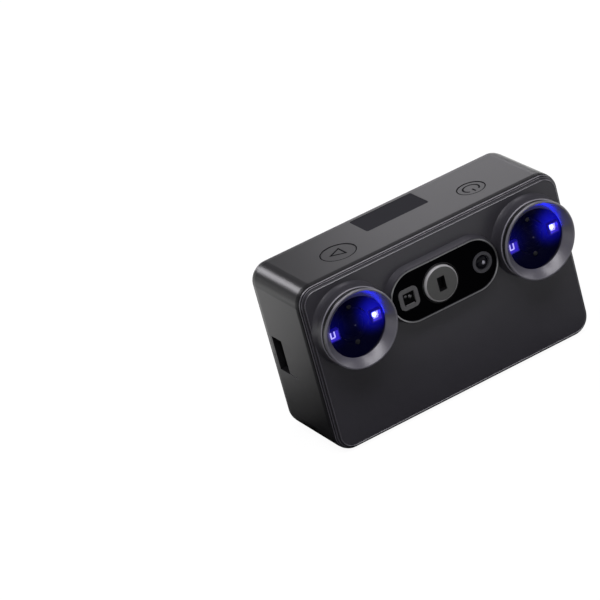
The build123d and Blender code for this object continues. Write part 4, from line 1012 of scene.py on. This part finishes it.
camera_domes = {  # finish, radius and rise
    "left": (painted_glow_boards["left"], 4.4, 1.2), "right": (painted_glow_boards["right"], 4.4, 1.2),
    "colour": (coated_glass, 2.6, 0.75)}
bead_radius = 0.9
bead_rise = 0.65
bead_shift = Vector((0.35, 0, -0.25)) * MM
for camera_name, (dome_glass, radius, rise) in camera_domes.items():
    lens_name = f"{camera_name}_camera_lens"
    lens_front = front_middle(lens_name)
    lens = bmesh.new()
    dome(lens, lens_front + Vector((0, rise / 2 * MM, 0)), radius, rise)
    add_piece(f"{camera_name}_camera_dome", lens, dome_glass, "body", (lens_name,))
    lens_bead = bmesh.new()
    dome(lens_bead, lens_front + bead_shift, bead_radius, bead_rise)
    add_piece(f"{camera_name}_camera_bead", lens_bead, bright_bead, "body")

# %% [markdown]
# ## Small things behind the glass
# Two dark screw heads hold each lamp board, and the depth eye has a sender and a receiver of
# different size. All are domes again. Round the projector disc, a dark tier stands a little out of
# the panel, and its sloped section is spun like the bezels.

# %% Screws of the lamp boards
board_screw_shift = 7.3
board_screw_radius = 1.15
for side in lamp_places:
    board_front = front_middle(f"{side}_led_board")
    heads = bmesh.new()
    for shift in (-board_screw_shift, board_screw_shift):
        head_front = board_front + Vector((0, 0, shift)) * MM
        dome(heads, head_front, board_screw_radius, board_screw_radius / 2)
    add_piece(f"{side}_lamp_board_screws", heads, bead_glass, "body")

# %% Lenses of the depth eye and tier of the projector
eye_depth = 0.8
eye_lenses = {"emitter": (-1.15, 0.9, 0.75), "receiver": (0.75, 0.2, 0.95)}
eye_front = front_middle("depth_module") + Vector((0, eye_depth * MM, 0))
lenses = bmesh.new()
for shift_x, shift_z, radius in eye_lenses.values():
    dome(lenses, eye_front + Vector((shift_x, 0, shift_z)) * MM, radius, radius / 2)
add_piece("depth_eye_lenses", lenses, bead_glass, "body")

tier_section = ((7.35, 0.2), (7.75, 0.0), (7.95, 0.15), (7.95, 0.5), (7.35, 0.5))
tier_lift = 0.25
tier_front = box_middle("projector_ring")
tier_front.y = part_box("window_panel")[0].y - tier_lift * MM
add_piece("projector_tier", spin_section(tier_section, tier_front), tier_metal, "body")

# %% [markdown]
# ## Signs on the buttons
# The scan button carries an outlined triangle and the power button the usual ring with a bar. Both
# are engraved and dark. A picture on the button would blur close up, so they are thin plates a hair
# above it. The triangle is a circle with three segments, inset to an outline. The ring is a short
# line, spun round most of a turn, and its gap faces the front, where the bar stands.

# %% Scan sign
sign_stroke = 0.70
sign_thickness = 0.03
sign_lift = 0.02
triangle_radius = 4.1
triangle_corner = 0.35


def button_top(name):
    """The middle of a button's top face, a hair above it."""
    top = box_middle(name)
    top.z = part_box(name)[1].z + sign_lift * MM
    return Matrix.Translation(top)


triangle = bmesh.new()
bmesh.ops.create_circle(triangle, cap_ends=True, segments=3, radius=triangle_radius * MM,
                        matrix=Matrix.Rotation(math.radians(90), 4, "Z"))
bmesh.ops.bevel(triangle, geom=list(triangle.verts), offset=triangle_corner * MM, segments=4,
                profile=0.5, affect="VERTICES", material=-1)
hollow(triangle, sign_stroke)
thicken(triangle, sign_thickness)
triangle.transform(button_top("scan_button"))
add_piece("scan_sign", triangle, sign_and_shade_black, "scan_button")

# %% Power sign
power_radius = 3.2
power_gap = math.radians(38)
power_bar = (-3.5, -0.9)
half_stroke = sign_stroke / 2
power_sign = bmesh.new()
outwards = Matrix.Rotation(power_gap, 3, "Z") @ Vector((0, -1, 0))
ends = [power_sign.verts.new(outwards * reach * MM)
        for reach in (power_radius - half_stroke, power_radius + half_stroke)]
stroke = power_sign.edges.new(ends)
bmesh.ops.spin(power_sign, geom=ends + [stroke], axis=(0, 0, 1),
               angle=2 * math.pi - 2 * power_gap, steps=64)
bar_corners = ((-half_stroke, power_bar[0]), (half_stroke, power_bar[0]),
               (half_stroke, power_bar[1]), (-half_stroke, power_bar[1]))
power_sign.faces.new([power_sign.verts.new((x * MM, y * MM, 0)) for x, y in bar_corners])
thicken(power_sign, sign_thickness)
power_sign.transform(button_top("power_button"))
add_piece("power_sign", power_sign, sign_and_shade_black, "power_button")

# %% [markdown]
# ## Grips of the latches
# Each cover is held by a thumb slide with a paler grip, which has a rib at both ends and one in the
# middle. A plate and three boxes are softened together, and ride on the slide.

# %% Latch grips
grip_proud = 0.12
grip_rib = 0.35
grip_round = 0.06
grips = {"battery_latch": (4.95, 6.8, 1.7), "port_latch": (3.2, 5.4, 0.9)}  # rise, length, height
for name, (rise, length, height) in grips.items():
    low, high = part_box(name)
    grip_middle = Vector((high.x, (low.y + high.y) / 2, low.z + rise * MM))
    grip = bmesh.new()
    for rib in (-1, 0, 1):
        rib_middle = grip_middle + Vector((0, rib * (length - grip_rib) / 2, 0)) * MM
        box_at(grip, rib_middle, Vector((2 * grip_proud, grip_rib, height)) * MM)
    box_at(grip, grip_middle, Vector((grip_proud, length, height)) * MM)
    soften(grip, grip_round, segments=2)
    add_piece(f"{name}_grip", grip, grip_plastic, name)

# %% [markdown]
# ## Rims of the case
# Where the tube meets its covers, rounded rims catch the light. The front has two pale lines with a
# dark gap between them: the bead of the tube, and the ridge of the cover. Their pale finish is a
# painted highlight on top of the light that their chamfers catch, and the ring in the gap is a
# darker plastic that stands in for shade, a painted shadow. All four rings are made the same way,
# as a rounded rectangle that is hollowed, thickened and chamfered. The table gives where each one
# starts, how far it lies inside the outline, its width and its chamfer.

# %% Rim rings
bead_proud = 0.10
bead_inset = 0.38
bead_width = 1.5
bead_chamfer = 0.62
ridge_inset = 1.70
ridge_width = 0.42
ridge_chamfer = 0.20
gap_inset = 1.27
gap_width = 0.90
gap_chamfer = 0.40
gap_sink = 0.01
cover_rise = 1.05
case_corner = 7.4
shell_low, shell_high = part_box("mid_shell")
shell_half = (shell_high - shell_low) / 2
front_bead_start = shell_low.y - bead_proud * MM
rear_bead_start = shell_high.y - (bead_width - bead_proud) * MM
ridge_start = shell_low.y - (cover_rise + ridge_chamfer) * MM
gap_start = shell_low.y - (cover_rise - gap_sink) * MM
# The pale beads and ridge carry a painted highlight, and the dark gap ring a painted shadow.
rim_rings = {
    "front_rim_bead": (front_bead_start, bead_inset, bead_width, bead_chamfer, rim_highlight_plastic),
    "rear_rim_bead": (rear_bead_start, bead_inset, bead_width, bead_chamfer, front_lit_plastic),
    "front_ridge": (ridge_start, ridge_inset, ridge_width, ridge_chamfer, rim_highlight_plastic),
    "front_gap_shade": (gap_start, gap_inset, gap_width, gap_chamfer, gap_shade_plastic),
}
for ring_name, (start, inset, width, chamfer, ring_finish) in rim_rings.items():
    ring = bmesh.new()
    stretch = Matrix.Diagonal((shell_half.x - inset * MM, shell_half.z - inset * MM, 1.0, 1.0))
    bmesh.ops.create_grid(ring, x_segments=1, y_segments=1, size=1.0, matrix=stretch)
    bmesh.ops.bevel(ring, geom=list(ring.verts), offset=(case_corner - inset) * MM, segments=24,
                    profile=0.5, affect="VERTICES", material=-1)
    hollow(ring, width)
    thicken(ring, width)
    soften(ring, chamfer, segments=1)
    ring_middle = box_middle("mid_shell")
    ring_middle.y = start
    ring.transform(facing_front(ring_middle))
    add_piece(ring_name, ring, ring_finish, "body")

# %% [markdown]
# ## Grooves round the buttons
# The gap between a button and the case is a thin black circle. The gap of the solids is too narrow
# to hold a shadow at this distance, so a flat dark ring lies over it. It stays on the case when the
# button goes in.

# %% Button grooves
groove_width = 0.45
groove_lift = 0.01
button_radii = {"scan_button": 7.0, "power_button": 5.55}
for name, radius in button_radii.items():
    groove_top = box_middle(name)
    groove_top.z = cad_box[1].z + groove_lift * MM
    groove = bmesh.new()
    bmesh.ops.create_circle(groove, cap_ends=True, segments=96,
                            radius=(radius + groove_width / 2) * MM,
                            matrix=Matrix.Translation(groove_top))
    hollow(groove, groove_width)
    add_piece(f"{name}_groove", groove, sign_and_shade_black, "body")

# %% [markdown]
# ## Step of the side recess
# The recess on the left side is deep only at its rear. Its front half is a shallow step, which
# slopes in by a hair and fills the recess of the solid: four corners drawn from above, thickened
# downwards.

# %% Side step
insert_wall = 0.8
step_gap = 0.05
step_length = 7.6
step_sink = (0.3, 0.4)
low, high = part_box("side_port_insert")
step_edge = insert_wall + step_gap
step_front = low.y + step_edge * MM
step_rear = step_front + step_length * MM
side_x = cad_box[0].x
step_corners = ((side_x + step_sink[0] * MM, step_front), (low.x, step_front), (low.x, step_rear),
                (side_x + step_sink[1] * MM, step_rear))
step = slab(step_corners, high.z - step_edge * MM, (high.z - low.z) / MM - 2 * step_edge)
add_piece("side_step", step, case_plastic, "body")

# %% [markdown]
# ## Outer wall of the strap slot
# A strap is threaded behind a bar at the rear edge of the left side. The case curves round the slot
# in a thin wall, which follows the corner in two flat runs. It is drawn from above too, as a
# strip with a thinner end.

# %% Strap wall
strap_seat = 0.95
strap_gap = 0.3
strap_wall = 0.5
strap_wall_runs = ((0.02, 0.0), (0.22, 2.0), (0.62, 3.35))  # sink, and way to the rear
low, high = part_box("strap_bar")
slot_front = low.y - strap_gap * MM
wall_corners = [(side_x + sink * MM, slot_front + run * MM) for sink, run in strap_wall_runs]
wall_end = strap_wall_runs[-1][0] + strap_wall / 2
wall_corners += [(side_x + wall_end * MM, wall_corners[-1][1]),
                 (side_x + strap_wall * MM, slot_front)]
wall = slab(wall_corners, high.z - strap_seat * MM, (high.z - low.z) / MM - 2 * strap_seat)
add_piece("strap_wall", wall, case_plastic, "body")

# %% [markdown]
# ## Thread of the tripod bush
# The bush in the base has a quarter-inch thread. Its tooth is two short edges, spun about the axis
# while they climb. A stack of rings would look alike from far away, but a thread climbs.

# %% Tripod thread
thread_radius = 3.2
thread_depth = 0.45
thread_pitch = 1.27
thread_turns = 5
thread_steps = 48
thread_start = 1.6
low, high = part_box("tripod_insert")
thread_foot = box_middle("tripod_insert")
thread_foot.z = low.z + thread_start * MM
tooth_section = ((thread_radius, -thread_pitch / 3), (thread_radius - thread_depth, 0),
                 (thread_radius, thread_pitch / 3))
thread = bmesh.new()
tooth = [thread.verts.new(thread_foot + Vector((radius, 0, rise)) * MM)
         for radius, rise in tooth_section]
flanks = [thread.edges.new(pair) for pair in zip(tooth, tooth[1:])]
bmesh.ops.spin(thread, geom=tooth + flanks, cent=thread_foot, axis=(0, 0, 1),
               angle=2 * math.pi * thread_turns, steps=thread_steps * thread_turns,
               dvec=(0, 0, thread_pitch / thread_steps * MM))
add_piece("tripod_thread", thread, steel, "body")

# %% [markdown]
# ## Sockets of the base screws
# Four screws hold the base, each with a hexagon socket. At this size a socket is only a dark
# hexagon of shade, so a thin black plate of six sides on each head stands in for it: a painted
# shadow.

# %% Screw sockets
socket_radius = 0.95
socket_thickness = 0.04
head_radius = 1.6
low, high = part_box("base_screws")
sockets = bmesh.new()
for x in (low.x + head_radius * MM, high.x - head_radius * MM):
    for y in (low.y + head_radius * MM, high.y - head_radius * MM):
        bmesh.ops.create_circle(sockets, cap_ends=True, segments=6, radius=socket_radius * MM,
                                matrix=Matrix.Translation((x, y, low.z - sign_lift * MM)))
thicken(sockets, -socket_thickness)
add_piece("screw_socket_shades", sockets, sign_and_shade_black, "body")

# %% [markdown]
# ## Finishing the nodes
# Every node of the solid model gets one finish. A list of node and finish would repeat each finish
# many times, so the table is read the other way round: a finish and the nodes that share it. The
# last line names any node that was forgotten.

# %% Finish every node of the solid model
node_finishes = {
    shell_plastic: ("mid_shell",),
    case_plastic: ("battery_door", "port_cover", "scan_button", "power_button", "base_plate",
                   "label_plate", "service_plate"),
    front_lit_plastic: ("front_cover", "rear_cover"),
    inner_black_and_shade: ("battery_cradle", "port_frame", "side_port_insert", "battery_latch",
                    "port_latch", "display_panel", "projector_module", "button_switches",
                    "status_display"),
    module_plastic: ("colour_camera",),
    eye_plastic: ("depth_module",),
    window_black: ("window_panel", "left_leds", "right_leds"),
    status_black: ("status_window",),
    battery_wrap: ("battery_pack",),
    steel: ("board_screws", "bench_screws", "battery_door_pin", "port_cover_pin", "usb_socket",
            "card_socket", "side_socket", "strap_bar", "tripod_insert", "left_bezel_ring",
            "right_bezel_ring"),
    dark_steel: ("base_screws", "lanyard_pin"),
    aluminium: ("chassis", "heat_spreader", "optical_bench"),
    frame_metal: ("window_frame",),
    contact_metal: ("battery_contacts",),
    disc_metal: ("projector_ring",),
    cover_glass: ("left_lens_glass", "right_lens_glass"),
    coated_glass: ("colour_camera_lens",),
    screen_finish: ("screen_glass",),
    board_mask: ("main_board", "button_board", "port_board"),
    painted_glow_boards["left"]: ("left_led_board", "left_camera", "left_camera_lens"),
    painted_glow_boards["right"]: ("right_led_board", "right_camera", "right_camera_lens"),
    amber_film: ("flex_cables",),
}
for material, names in node_finishes.items():
    for name in names:
        nodes[name].data.materials.clear()
        nodes[name].data.materials.append(material)
unfinished = set(nodes) - {name for names in node_finishes.values() for name in names}
print("nodes without a finish:", sorted(unfinished))
